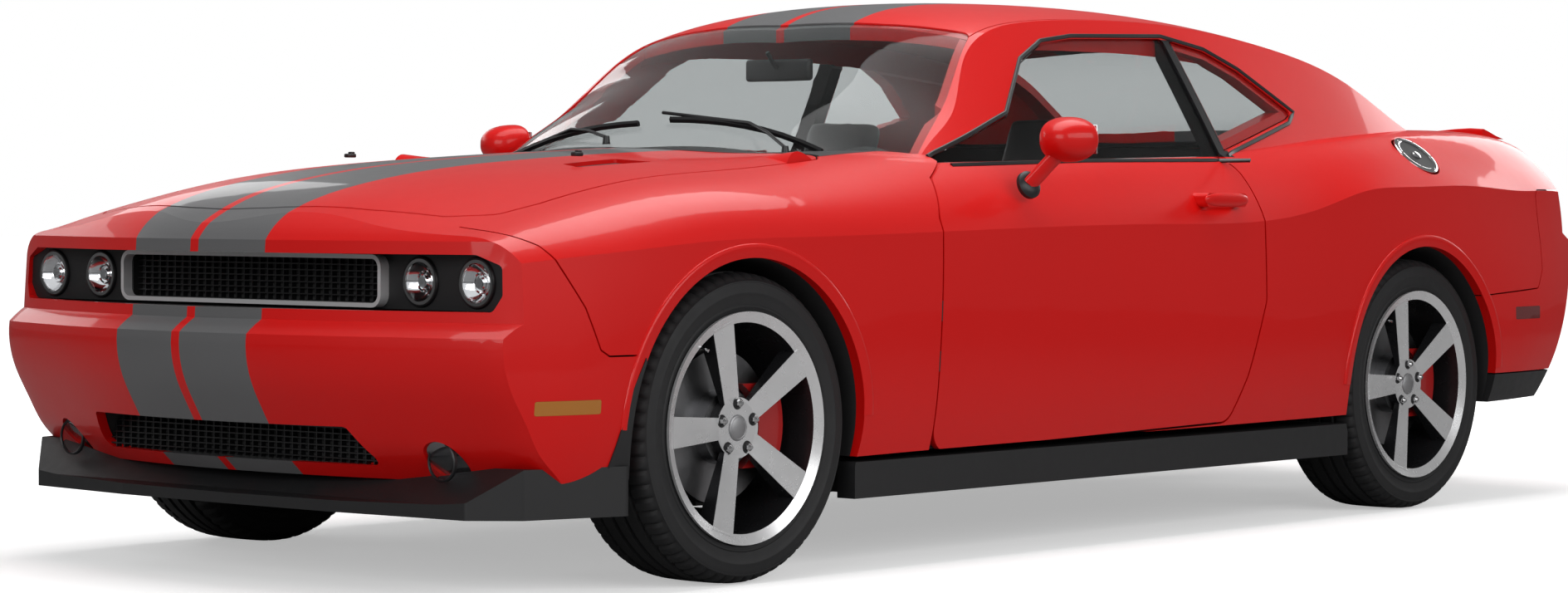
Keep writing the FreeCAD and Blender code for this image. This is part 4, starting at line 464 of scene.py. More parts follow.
@dataclass(frozen=True)
class TurnedMetal(Finish):
    """Metal with fine turning marks round an axle.

    Attributes:
        centre: A point on the axle.
        pitch: Distance from one turning mark to the next.
        mark_strength: How much of the marks shows.
    """

    centre: Place = (0.0, 0.0, 0.0)
    pitch: float = 0.0012
    wear_scale: ClassVar[float] = 40.0
    wear: ClassVar[float] = 0.2
    mark_strength: ClassVar[float] = 0.25

    def surface(self, nodes: Nodes) -> None:
        """Turns rings by the distance from the axle.

        Args:
            nodes: Nodes of the material.
        """
        turns = nodes.math("MULTIPLY", nodes.off_axle(self.centre), 2 * math.pi / self.pitch)
        self.roughen(nodes)
        nodes.bump(nodes.math("SINE", turns), self.mark_strength, self.relief)


@dataclass(frozen=True)
class WheelMetal(TurnedMetal):
    """Machined spoke faces and rim lip; the pockets and flanks are painted dark.

    Attributes:
        hub_rise: Hub face over the wheel's middle plane.
        hub_reach: Radius where the spokes start to rise.
        lip_rise: Spoke face over the middle plane at the rim.
        lip_reach: Radius of the rim lip's inner edge.
        dark: Colour of the painted parts.
        paint_edge: How far under the machined faces the paint starts.
        dark_metallic: Metal share of the painted parts.
        bright_metallic: Metal share of the machined faces.
    """

    hub_rise: float = 0.089
    hub_reach: float = 0.0646
    lip_rise: float = 0.1131
    lip_reach: float = 0.2462
    dark: Colour = (0.022, 0.022, 0.024)
    paint_edge: float = 0.0012
    dark_metallic: float = 0.35
    bright_metallic: float = 0.62
    patch_scale: ClassVar[float] = 14.0
    patch_detail: ClassVar[float] = 3.0
    darkest: ClassVar[float] = 0.85

    def colouring(self, nodes: Nodes) -> None:
        """Finds the machined faces by how far out they lie at their radius.

        Args:
            nodes: Nodes of the material.
        """
        out = nodes.math("SUBTRACT", nodes.math("ABSOLUTE", nodes.axis("Y")), self.centre[1])
        slope = (self.lip_rise - self.hub_rise) / (self.lip_reach - self.hub_reach)
        past_hub = nodes.math("SUBTRACT", nodes.off_axle(self.centre), self.hub_reach)
        rise = nodes.math("MULTIPLY", nodes.math("MAXIMUM", past_hub, 0.0), slope)
        face = nodes.math("ADD", rise, self.hub_rise - self.paint_edge)
        bright = nodes.math("GREATER_THAN", out, face)
        nodes.feed("Base Color", nodes.blend(bright, self.dark, self.patches(nodes)))
        nodes.feed("Metallic", nodes.spread(bright, self.dark_metallic, self.bright_metallic))


@dataclass(frozen=True)
class Leather(Finish):
    """Grained leather.

    Attributes:
        pebble_strength: How much of the pebbled grain shows.
    """

    wear_scale: ClassVar[float] = 20.0
    pebble_strength: ClassVar[float] = 0.5

    def surface(self, nodes: Nodes) -> None:
        """Adds the pebbled relief from cells.

        Args:
            nodes: Nodes of the material.
        """
        cells = nodes.add("ShaderNodeTexVoronoi", feature="DISTANCE_TO_EDGE")
        cells.inputs["Scale"].default_value = self.grain
        nodes.join(nodes.place, cells.inputs["Vector"])
        worn = self.roughness * (1 - self.wear)
        nodes.feed("Roughness", nodes.spread(nodes.noise(self.wear_scale), worn, self.roughness))
        nodes.bump(cells.outputs[0], self.pebble_strength, self.relief)


# Colours and gloss that several finishes share
RED: Colour = (0.64, 0.003, 0.002)
GLOSS_BLACK: Colour = (0.008, 0.008, 0.009)
PAINT_GLOSS = {"roughness": 0.42, "grain": 90.0, "relief": 0.0004, "coat": 0.30}
WHEEL_METAL = {"colour": (0.86, 0.86, 0.87), "roughness": 0.26, "metallic": 1.0, "relief": 0.00003}
DISC_IRON = {"colour": (0.33, 0.33, 0.34), "roughness": 0.35, "metallic": 1.0, "relief": 0.00006}
FRONT_HUB = middle_of(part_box("rim_front_left"))
REAR_HUB = middle_of(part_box("rim_rear_left"))


class Look(Enum):
    """The finishes of the car."""

    PAINT = BodyPaint("body_paint", RED, **PAINT_GLOSS)
    SIDE_PAINT = PillarPaint("side_paint", RED, **PAINT_GLOSS)
    MIRROR_SHELL = SplitFinish("mirror_shell", GLOSS_BLACK, 0.3, grain=90.0, relief=0.0001, coat=0.3,
                               other=RED, axis_name="Z", parting=0.985)
    PLASTIC = Finish("black_plastic", (0.012, 0.012, 0.013), grain=1400.0, relief=0.00015)
    GRILLE = SplitFinish("grille_and_surround", GLOSS_BLACK, 0.35, grain=900.0, relief=0.0001,
                         other=(0.80, 0.80, 0.81), parting=2.2705, other_metallic=0.45, least_height=0.5)
    UNDERBODY = Finish("underbody", (0.018, 0.018, 0.019), 0.75, grain=400.0, relief=0.0004)
    GLASS = TintedGlass("tinted_glass", (0.62, 0.64, 0.64), 0.0)
    LENS = TintedGlass("clear_lens", (0.95, 0.96, 0.97), 0.0)
    RED_LENS = Finish("red_lens", (0.30, 0.004, 0.004), 0.16, grain=260.0, relief=0.0005, coat=1.0)
    MARKER = SplitFinish("marker_lens", (0.16, 0.004, 0.004), 0.22, grain=300.0, relief=0.0004, coat=0.8,
                         other=(0.42, 0.15, 0.01))
    LAMP_BOWL = Finish("lamp_bowl", (0.30, 0.30, 0.31), 0.12, 0.9, 220.0, 0.0006, 1.0)
    RUBBER = Finish("tyre_rubber", (0.011, 0.011, 0.012), 0.62, grain=900.0, relief=0.0003)
    FRONT_WHEEL = WheelMetal("front_wheel_metal", **WHEEL_METAL, centre=FRONT_HUB)
    REAR_WHEEL = WheelMetal("rear_wheel_metal", **WHEEL_METAL, centre=REAR_HUB)
    FRONT_DISC = TurnedMetal("front_disc_iron", **DISC_IRON, centre=FRONT_HUB)
    REAR_DISC = TurnedMetal("rear_disc_iron", **DISC_IRON, centre=REAR_HUB)
    CALIPER = Finish("caliper_paint", (0.45, 0.012, 0.012), 0.3, grain=200.0, coat=0.6)
    IRON = Finish("cast_iron", (0.09, 0.088, 0.086), 0.6, 0.8, 350.0, 0.0006)
    STEEL = Finish("steel", (0.38, 0.37, 0.36), 0.32, 1.0, 60.0)
    ALLOY = Finish("cast_alloy", (0.42, 0.42, 0.43), 0.5, 1.0, 420.0, 0.0005)
    CHROME = Finish("bright_metal", (0.75, 0.75, 0.76), 0.08, 1.0, relief=0.0)
    MIRROR_GLASS = Finish("mirror_glass", (0.62, 0.64, 0.65), 0.02, 1.0, relief=0.0)
    LEATHER = Leather("seat_leather", (0.018, 0.018, 0.019), grain=420.0, relief=0.0004)
    TRIM = Finish("black_trim", (0.007, 0.007, 0.008), 0.4, grain=1100.0, relief=0.00005)
    CABIN = Finish("cabin_plastic", (0.022, 0.022, 0.023), 0.6, grain=900.0, relief=0.0003)


MATERIALS: dict[Look, bpy.types.Material] = {}

# The starts of the CAD nodes' names that have each finish; the rest are painted
NODE_LOOKS: dict[Look, tuple[str, ...]] = {
    Look.UNDERBODY: ("unibody",),
    Look.PLASTIC: ("front_splitter", "side_skirts", "cowl_panel", "lamp_panel", "rear_valance", "hood_vents"),
    Look.GRILLE: ("front_grille",),
    Look.GLASS: ("door_glass", "windshield", "rear_window", "quarter_windows"),
    Look.CHROME: ("headlamps", "fuel_door"),
    Look.LAMP_BOWL: ("fog_lamps",),
    Look.MARKER: ("side_markers",),
    Look.RED_LENS: ("tail_lamps",),
    Look.RUBBER: ("tyre_",),
    Look.FRONT_WHEEL: ("rim_front",),
    Look.REAR_WHEEL: ("rim_rear",),
    Look.FRONT_DISC: ("brake_disc_front",),
    Look.REAR_DISC: ("brake_disc_rear",),
    Look.CALIPER: ("front_caliper", "rear_calipers"),
    Look.IRON: ("front_knuckle", "rear_hubs", "suspension", "driveline", "engine_block"),
    Look.STEEL: ("exhaust",),
    Look.LEATHER: ("front_seats", "rear_seat", "steering_wheel"),
    Look.CABIN: ("dashboard",),
    Look.MIRROR_SHELL: ("mirror_",),
    Look.SIDE_PAINT: ("body_side",),
}


def finish_of(node: str) -> Look:
    """Gives the finish of a CAD node.

    Args:
        node: Name of the node.

    Returns:
        Its finish.
    """
    for look, starts in NODE_LOOKS.items():
        if node.startswith(starts):
            return look
    return Look.PAINT


def dress(piece: bpy.types.Object, look: Look) -> None:
    """Gives a piece one finish."""
    piece.data.materials.clear()
    piece.data.materials.append(MATERIALS[look])


# Shaping
class Form:
    """A mesh in the making, shaped by bmesh operators."""

    def __init__(self) -> None:
        """Starts empty."""
        self.mesh = bmesh.new()

    def block(self, low: Place, high: Place, round_by: float = 0.0, segments: int = 3) -> list[Vert]:
        """Adds a box between two corners, its edges rounded.

        Args:
            low: Lowest corner.
            high: Highest corner.
            round_by: Radius of the edges, or zero for sharp ones.
            segments: Steps of each rounded edge.

        Returns:
            The vertices of the box.
        """
        size = Vector(high) - Vector(low)
        middle = (Vector(high) + Vector(low)) / 2
        place = Matrix.Translation(middle) @ Matrix.Diagonal((*size, 1.0))
        verts = bmesh.ops.create_cube(self.mesh, size=1.0, matrix=place)["verts"]
        if round_by > 0:
            edges = list({edge for vert in verts for edge in vert.link_edges})
            made = bmesh.ops.bevel(self.mesh, geom=edges, offset=round_by, segments=segments, profile=0.5,
                                   affect="EDGES", material=-1)
            verts = list({vert for face in made["faces"] for vert in face.verts})
        return verts

    def turned(self, profile: Outline, centre: Place, axis: Place, steps: int = 32) -> list[Vert]:
        """Spins a profile once round an axis.

        Args:
            profile: Radius and distance along the axis of each point.
            centre: A point on the axis where the distance is zero.
            axis: Direction of the axis.
            steps: Steps of the turn.

        Returns:
            The vertices of the turned form.
        """
        middle = Vector(centre)
        along = Vector(axis).normalized()
        out = along.orthogonal().normalized()
        start = [self.mesh.verts.new(middle + out * radius + along * rise) for radius, rise in profile]
        chain = [self.mesh.edges.new(pair) for pair in zip(start, start[1:])]
        before = set(self.mesh.verts)
        bmesh.ops.spin(self.mesh, geom=start + chain, cent=centre, axis=along, angle=2 * math.pi, steps=steps,
                       use_merge=True, use_normal_flip=False, use_duplicate=False)
        return start + [vert for vert in self.mesh.verts if vert not in before]

    def rod(self, start: Place, end: Place, radius: float, end_radius: float, sides: int = 16) -> None:
        """Adds a round bar or cone between two points.

        Args:
            start: Middle of one end.
            end: Middle of the other end.
            radius: Radius at the start.
            end_radius: Radius at the end.
            sides: Number of sides.
        """
        run = Vector(end) - Vector(start)
        turn = run.to_track_quat("Z", "Y").to_matrix().to_4x4()
        place = Matrix.Translation((Vector(start) + Vector(end)) / 2) @ turn
        bmesh.ops.create_cone(self.mesh, cap_ends=True, cap_tris=False, segments=sides, radius1=radius,
                              radius2=end_radius, depth=run.length, matrix=place)

    def sweep(self, path: list[Vector], out: Place, section: Outline) -> None:
        """Draws a section along a path by extruding its outline from point to point.

        Args:
            path: Points of the path.
            out: Direction of the section's second coordinate.
            section: Outline of the section, sideways and outwards.
        """
        rings = []
        for number, place in enumerate(path):
            before = path[max(number - 1, 0)]
            after = path[min(number + 1, len(path) - 1)]
            along = (after - before).normalized()
            up = (Vector(out) - along * Vector(out).dot(along)).normalized()
            side = along.cross(up)
            rings.append([place + side * across + up * rise for across, rise in section])
        verts = [self.mesh.verts.new(place) for place in rings[0]]
        loop = [self.mesh.edges.new(pair) for pair in zip(verts, verts[1:] + verts[:1])]
        first = list(loop)
        for ring in rings[1:]:
            made = bmesh.ops.extrude_edge_only(self.mesh, edges=loop)["geom"]
            new = {item for item in made if isinstance(item, Vert)}
            loop = [item for item in made if isinstance(item, bmesh.types.BMEdge)]
            verts = [next(edge.other_vert(vert) for edge in vert.link_edges if edge.other_vert(vert) in new)
                     for vert in verts]
            for vert, place in zip(verts, ring):
                vert.co = place
        bmesh.ops.holes_fill(self.mesh, edges=first + loop, sides=len(section))

    def tube(self, path: list[Place], radius: float, sides: int = 10) -> None:
        """Draws a round tube along a path.

        Args:
            path: Points of the tube's middle line.
            radius: Radius of the tube.
            sides: Number of sides.
        """
        places = [Vector(place) for place in path]
        turns = [2 * math.pi * step / sides for step in range(sides)]
        section = [(radius * math.cos(turn), radius * math.sin(turn)) for turn in turns]
        self.sweep(places, (places[-1] - places[0]).orthogonal().normalized(), section)

    def mirror(self) -> None:
        """Repeats the form on the car's other side."""
        geometry = list(self.mesh.verts) + list(self.mesh.edges) + list(self.mesh.faces)
        copied = bmesh.ops.duplicate(self.mesh, geom=geometry)
        verts = [item for item in copied["geom"] if isinstance(item, Vert)]
        bmesh.ops.scale(self.mesh, vec=(1.0, -1.0, 1.0), verts=verts)

    def finish(self, name: str, look: Look, body: str = "car_body", smooth: float = 35.0) -> bpy.types.Object:
        """Makes the form a dressed piece that rides on a body.

        Args:
            name: Name of the piece.
            look: Its finish.
            body: The body that carries it.
            smooth: Angle in degrees under which edges are shaded smooth.

        Returns:
            The piece.
        """
        bmesh.ops.remove_doubles(self.mesh, verts=self.mesh.verts, dist=1e-6)
        bmesh.ops.recalc_face_normals(self.mesh, faces=self.mesh.faces)
        for face in self.mesh.faces:
            face.smooth = True
        data = bpy.data.meshes.new(name)
        self.mesh.to_mesh(data)
        self.mesh.free()
        data.set_sharp_from_angle(angle=math.radians(smooth))
        piece = bpy.data.objects.new(name, data)
        bpy.context.scene.collection.objects.link(piece)
        dress(piece, look)
        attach(piece, body)
        log.info("%s: %d faces", name, len(data.polygons))
        return piece


# Wheels
@dataclass
class Wheel:
    """Tyre with its tread, and the small parts of one wheel.

    Attributes:
        corner: Name of the corner, such as front_left.
        tyre_half: Half of the tyre's section, from the rim over wall and shoulder to the middle rib.
        pitches: Tread blocks round the tyre.
        pitch_columns: Columns of faces in each block.
        groove: Depth of the cross grooves.
        groove_reach: Least radius of a groove.
        groove_edges: Where the grooves start and end, from the tyre's middle plane.
        lugs: Wheel nuts.
        lug_circle: Radius of the circle of wheel nuts.
        hub_rise: Hub face over the wheel's middle plane.
        cap: Profile of the centre cap, over the hub face.
        nut_sink: How far a nut's foot lies under the hub face.
        nut_rise: Height of a nut's flats over its foot.
        nut_radii: Radius of a nut at its foot, at its flats' end, and of its crown below and above.
        nut_crown: Height of its crown over its foot.
        pocket: Profile of the dark pocket round a nut.
        valve_turn: Angle of the valve round the wheel, degrees.
        valve_root: Radius and rise where the valve leaves the rim.
        valve_tip: Radius and rise of its tip.
        valve_cap: Length of its cap.
        valve_radii: Radius of the valve at its root and tip.
        valve_cap_radii: Radius of its cap at both ends.
    """

    corner: str
    tyre_half: Outline = (
        (0.2580, 0.1030), (0.2592, 0.1085), (0.2680, 0.1120), (0.2790, 0.1150), (0.2820, 0.1178),
        (0.2850, 0.1180), (0.2880, 0.1160), (0.3000, 0.1188), (0.3120, 0.1212), (0.3140, 0.1222),
        (0.3165, 0.1222), (0.3185, 0.1215), (0.3290, 0.1213), (0.3390, 0.1190), (0.3400, 0.1200),
        (0.3425, 0.1195), (0.3440, 0.1165), (0.3500, 0.1120), (0.3560, 0.1040), (0.3600, 0.0940),
        (0.3620, 0.0800), (0.3629, 0.0680), (0.3560, 0.0660), (0.3560, 0.0570), (0.3633, 0.0550),
        (0.3638, 0.0260), (0.3565, 0.0240), (0.3565, 0.0140), (0.3639, 0.0120),
    )
    pitches: int = 66
    pitch_columns: int = 4
    groove: float = 0.006
    groove_reach: float = 0.345
    groove_edges: tuple[float, float] = (0.067, 0.118)
    lugs: int = 5
    lug_circle: float = 0.0575
    hub_rise: float = 0.089
    cap: Outline = ((0.0, 0.0065), (0.019, 0.006), (0.0245, 0.004), (0.0262, 0.0045), (0.0295, 0.003),
                    (0.0315, -0.001), (0.0315, -0.003), (0.0, -0.003))
    nut_sink: float = 0.002
    nut_rise: float = 0.013
    nut_radii: tuple[float, float, float, float] = (0.0092, 0.0088, 0.0086, 0.0045)
    nut_crown: float = 0.018
    pocket: Outline = ((0.0, 0.0024), (0.0135, 0.0024), (0.0150, 0.0030), (0.0155, 0.0018), (0.0155, 0.0))
    valve_turn: float = 36.0
    valve_root: tuple[float, float] = (0.244, 0.085)
    valve_tip: tuple[float, float] = (0.231, 0.110)
    valve_cap: float = 0.009
    valve_radii: tuple[float, float] = (0.0035, 0.003)
    valve_cap_radii: tuple[float, float] = (0.0045, 0.004)

    def __post_init__(self) -> None:
        """Finds the wheel's middle and outward direction."""
        self.centre = Vector(middle_of(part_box(f"tyre_{self.corner}")))
        self.outward = Vector((0.0, math.copysign(1.0, self.centre.y), 0.0))
        self.body = f"wheel_{self.corner}"

    def build(self) -> None:
        """Builds the tyre, cap, nuts and valve."""
        self.make_tyre()
        self.make_cap()
        self.make_nuts()
        self.make_valve()

    def at(self, turn: float, radius: float, rise: float) -> Vector:
        """Gives a place on the wheel.

        Args:
            turn: Angle round the axle from the top, radians.
            radius: Distance from the axle.
            rise: Distance outwards from the middle plane.

        Returns:
            The place.
        """
        spoke = Matrix.Rotation(turn, 3, self.outward) @ Vector((0.0, 0.0, radius))
        return self.centre + spoke + self.outward * rise

    def make_tyre(self) -> None:
        """Spins the tyre and cuts the cross grooves into its shoulders."""
        far_half = tuple((radius, -offset) for radius, offset in reversed(self.tyre_half))
        profile = self.tyre_half + far_half + self.tyre_half[:1]
        inner_edge, outer_edge = self.groove_edges
        columns = self.pitches * self.pitch_columns
        form = Form()
        for vert in form.turned(profile, self.centre, self.outward, columns):
            spoke = vert.co - self.centre
            offset = spoke.dot(self.outward)
            spoke.y = 0.0
            if spoke.length < self.groove_reach or not inner_edge < abs(offset) < outer_edge:
                continue
            column = round(math.atan2(spoke.z, spoke.x) / (2 * math.pi) * columns)
            half_pitch = self.pitch_columns // 2 if offset > 0 else 0
            if (column + half_pitch) % self.pitch_columns == 0:
                vert.co -= spoke.normalized() * self.groove
        tyre = form.finish(f"tyre_with_tread_{self.corner}", Look.RUBBER, self.body, 28.0)
        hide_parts(f"tyre_{self.corner}")

    def make_cap(self) -> None:
        """Turns the bare centre cap."""
        form = Form()
        form.turned(self.cap, self.at(0.0, 0.0, self.hub_rise), self.outward, 48)
        form.finish(f"centre_cap_{self.corner}", Look.ALLOY, self.body)

    def make_nuts(self) -> None:
        """Sets the wheel nuts in their dark pockets."""
        nuts, pockets = Form(), Form()
        foot_radius, flat_radius, crown_radius, tip_radius = self.nut_radii
        for number in range(self.lugs):
            foot = self.at(2 * math.pi * number / self.lugs, self.lug_circle, self.hub_rise - self.nut_sink)
            flats = foot + self.outward * self.nut_rise
            nuts.rod(foot, flats, foot_radius, flat_radius, 6)
            nuts.rod(flats, foot + self.outward * self.nut_crown, crown_radius, tip_radius, 12)
            pockets.turned(self.pocket, foot, self.outward, 28)
        nuts.finish(f"wheel_nuts_{self.corner}", Look.CHROME, self.body)
        pockets.finish(f"nut_pockets_{self.corner}", Look.PLASTIC, self.body)

    def make_valve(self) -> None:
        """Adds the tyre valve with its cap."""
        form = Form()
        turn = math.radians(self.valve_turn)
        root, tip = self.at(turn, *self.valve_root), self.at(turn, *self.valve_tip)
        form.rod(root, tip, *self.valve_radii)
        form.rod(tip, tip + (tip - root).normalized() * self.valve_cap, *self.valve_cap_radii, 10)
        form.finish(f"valve_{self.corner}", Look.CHROME, self.body)


# Body trim
class Surface:
    """The outside of some CAD nodes, on which trim is seated."""

    # Distance from the middle at which a ray starts, well outside the car
    OUTSIDE = 4.0

    def __init__(self, *names: str) -> None:
        """Gathers the faces of the nodes.

        Args:
            *names: Names of the CAD nodes.
        """
        verts: list[Vector] = []
        faces: list[list[int]] = []
        for name in names:
            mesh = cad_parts[name].data
            start = len(verts)
            verts += [vert.co.copy() for vert in mesh.vertices]
            faces += [[start + index for index in face.vertices] for face in mesh.polygons]
        self.tree = BVHTree.FromPolygons(verts, faces)

    def meet(self, start: Place, direction: Place, otherwise: Place) -> Vector:
        """Gives where a ray first meets the surface.

        Args:
            start: Start of the ray.
            direction: Direction of the ray.
            otherwise: The place to give where it misses.

        Returns:
            The place.
        """
        hit = self.tree.ray_cast(Vector(start), Vector(direction))[0]
        return hit if hit is not None else Vector(otherwise)

    def side(self, x: float, z: float, otherwise: float = 0.9) -> Vector:
        """Gives the left side's point at a side-view place."""
        return self.meet((x, self.OUTSIDE, z), (0.0, -1.0, 0.0), (x, otherwise, z))

    def top(self, x: float, y: float, otherwise: float = 1.0) -> Vector:
        """Gives the top point at a plan place."""
        return self.meet((x, y, self.OUTSIDE), (0.0, 0.0, -1.0), (x, y, otherwise))


def between(points: Outline, step: float = 0.03) -> Outline:
    """Adds points along a line of points.

    Args:
        points: The line's own points.
        step: Largest distance between the points given back.

    Returns:
        The line with its added points.
    """
    dense = [points[0]]
    for first, last in zip(points, points[1:]):
        count = max(1, math.ceil(math.dist(first, last) / step))
        for part in range(1, count + 1):
            dense.append(tuple(start + (end - start) * part / count for start, end in zip(first, last)))
    return tuple(dense)


@dataclass
class BodyTrim:
    """Mouldings, arch lips, wipers and washer nozzles.

    Attributes:
        window_line: Side-view line of the window moulding, over the door and quarter windows and back
            along the foot of the quarter window.
        belt_line: Side-view line of the strip along the top of a door.
        moulding: Section of both.
        arches: Name, axle X and inner radius of each wheel arch.
        axle_height: Height of the axles.
        lip_width: Width of an arch lip.
        lip_section: Section of a lip, as shares of half its width and as rises.
        lip_sweep: Angles at which a lip starts and ends.
        lip_steps: Steps along a lip.
        least_side: Least distance of the body's side from the middle, under which a lip ends.
        wiper_spots: Plan places of each wiper's pivot, elbow and tip.
        wiper_lift: Heights of a wiper's root, elbow and tip over the surface below.
        pivot_ends: Heights of a pivot's foot and head from its root.
        pivot_radii: Radius of a pivot at its foot and head.
        arm_rise: Height at which an arm leaves its root.
        knee_rise: How far an arm arches between root and elbow.
        arm_radius: Radius of a wiper arm.
        blade_length: Length of a blade.
        blade_reach: How far a blade reaches past its elbow, towards the left.
        blade_steps: Steps along a blade.
        blade_behind: How far a blade lies behind its elbow.
        blade_lift: Height of a blade's middle over the glass.
        blade: Section of a blade.
        nozzle_spot: Plan place of the left washer nozzle.
        nozzle_blocks: Lowest and highest corner of its base and nose from that place, with their rounding.
    """

    window_line: Outline = (
        (0.706, 1.004), (0.341, 1.122), (0.186, 1.268), (0.066, 1.320), (-0.078, 1.338), (-0.507, 1.352),
        (-0.700, 1.322), (-0.834, 1.270), (-1.036, 1.150), (-0.984, 1.118), (-0.572, 1.020),
    )
    belt_line: Outline = ((0.672, 0.982), (0.118, 0.998), (-0.532, 1.006))
    moulding: Outline = ((-0.006, -0.003), (-0.006, 0.002), (-0.004, 0.004), (0.004, 0.004), (0.006, 0.002),
                         (0.006, -0.003))
    arches: tuple[tuple[str, float, float], ...] = (("front", 1.5725, 0.396), ("rear", -1.3735, 0.401))
    axle_height: float = 0.364
    lip_width: float = 0.034
    lip_section: Outline = ((1.0, -0.004), (1.0, 0.0008), (0.4, 0.0022), (-0.35, 0.0045), (-0.8, 0.0040),
                            (-0.98, 0.0008), (-0.98, -0.012), (-0.6, -0.010), (0.0, -0.004))
    lip_sweep: tuple[float, float] = (2.0, 178.0)
    lip_steps: int = 60
    least_side: float = 0.8
    wiper_spots: tuple[Outline, ...] = (((0.955, 0.50), (0.865, 0.30), (0.845, -0.02)),
                                        ((0.955, -0.12), (0.880, -0.32), (0.850, -0.60)))
    wiper_lift: tuple[float, float, float] = (0.002, 0.022, 0.020)
    pivot_ends: tuple[float, float] = (-0.010, 0.014)
    pivot_radii: tuple[float, float] = (0.011, 0.008)
    arm_rise: float = 0.010
    knee_rise: float = 0.012
    arm_radius: float = 0.0045
    blade_length: float = 0.52
    blade_reach: float = 0.24
    blade_steps: int = 8
    blade_behind: float = 0.006
    blade_lift: float = 0.008
    blade: Outline = ((-0.004, -0.007), (-0.005, 0.003), (0.0, 0.009), (0.005, 0.003), (0.004, -0.007))
    nozzle_spot: tuple[float, float] = (1.605, 0.400)
    nozzle_blocks: tuple[tuple[Place, Place, float], ...] = (
        ((-0.016, -0.009, -0.003), (0.012, 0.009, 0.007), 0.003),
        ((-0.013, -0.007, 0.005), (0.000, 0.007, 0.012), 0.0025),
    )

    def build(self) -> None:
        """Builds all the trim."""
        self.skin = Surface("body_side_left", "roof_panel", "door_left", "front_fender_left",
                            "front_bumper_cover", "rear_bumper_cover")
        self.window_moulding()
        self.belt_strips()
        self.arch_lips()
        self.wipers()
        self.nozzles()

    def window_moulding(self) -> None:
        """Lays the black moulding round the side windows."""
        form = Form()
        path = [self.skin.side(x, z) for x, z in between(self.window_line)]
        form.sweep(path, (0.0, 1.0, 0.25), self.moulding)
        form.mirror()
        form.finish("window_moulding", Look.TRIM)

    def belt_strips(self) -> None:
        """Lays the black strip along the top of each door."""
        path = [self.skin.side(x, z) for x, z in between(self.belt_line)]
        for side, label in SIDES:
            form = Form()
            places = [Vector((place.x, place.y * side, place.z)) for place in path]
            form.sweep(places, (0.0, side, 0.6), self.moulding)
            form.finish(f"belt_strip_door_{label}", Look.TRIM, f"door_{label}")

    def arch_lips(self) -> None:
        """Rolls a flared lip round each wheel arch."""
        half = self.lip_width / 2
        section = tuple((share * half, rise) for share, rise in self.lip_section)
        start, end = self.lip_sweep
        for name, axle, radius in self.arches:
            reach = radius + half
            path = []
            for step in range(self.lip_steps + 1):
                turn = math.radians(start + (end - start) * step / self.lip_steps)
                x, z = axle + reach * math.cos(turn), self.axle_height + reach * math.sin(turn)
                place = self.skin.side(x, z, 0.0)
                if place.y > self.least_side:
                    path.append(place)
            form = Form()
            form.sweep(path, (0.0, 1.0, 0.0), section)
            form.mirror()
            form.finish(f"arch_lip_{name}", Look.PAINT, smooth=50.0)

    def wipers(self) -> None:
        """Parks the two wipers at the foot of the windshield."""
        screen = Surface("windshield", "cowl_panel", "hood_panel")
        form = Form()
        for spots in self.wiper_spots:
            root, elbow, tip = (screen.top(*spot) + UP * lift for spot, lift in zip(spots, self.wiper_lift))
            foot, head = (root + UP * end for end in self.pivot_ends)
            form.rod(foot, head, *self.pivot_radii)
            knee = (root + elbow) / 2 + UP * self.knee_rise
            form.tube([root + UP * self.arm_rise, knee, elbow, tip], self.arm_radius)
            blade = []
            for part in range(self.blade_steps + 1):
                y = elbow.y + self.blade_reach - self.blade_length * part / self.blade_steps
                blade.append(screen.top(elbow.x - self.blade_behind, y) + UP * self.blade_lift)
            form.sweep(blade, (0.3, 0.0, 1.0), self.blade)
        form.finish("wipers", Look.TRIM)

    def nozzles(self) -> None:
        """Sets the two washer nozzles on the hood."""
        form = Form()
        foot = Surface("hood_panel").top(*self.nozzle_spot)
        for low, high, rounding in self.nozzle_blocks:
            form.block(foot + Vector(low), foot + Vector(high), rounding)
        form.mirror()
        form.finish("washer_nozzles", Look.PLASTIC, "hood")


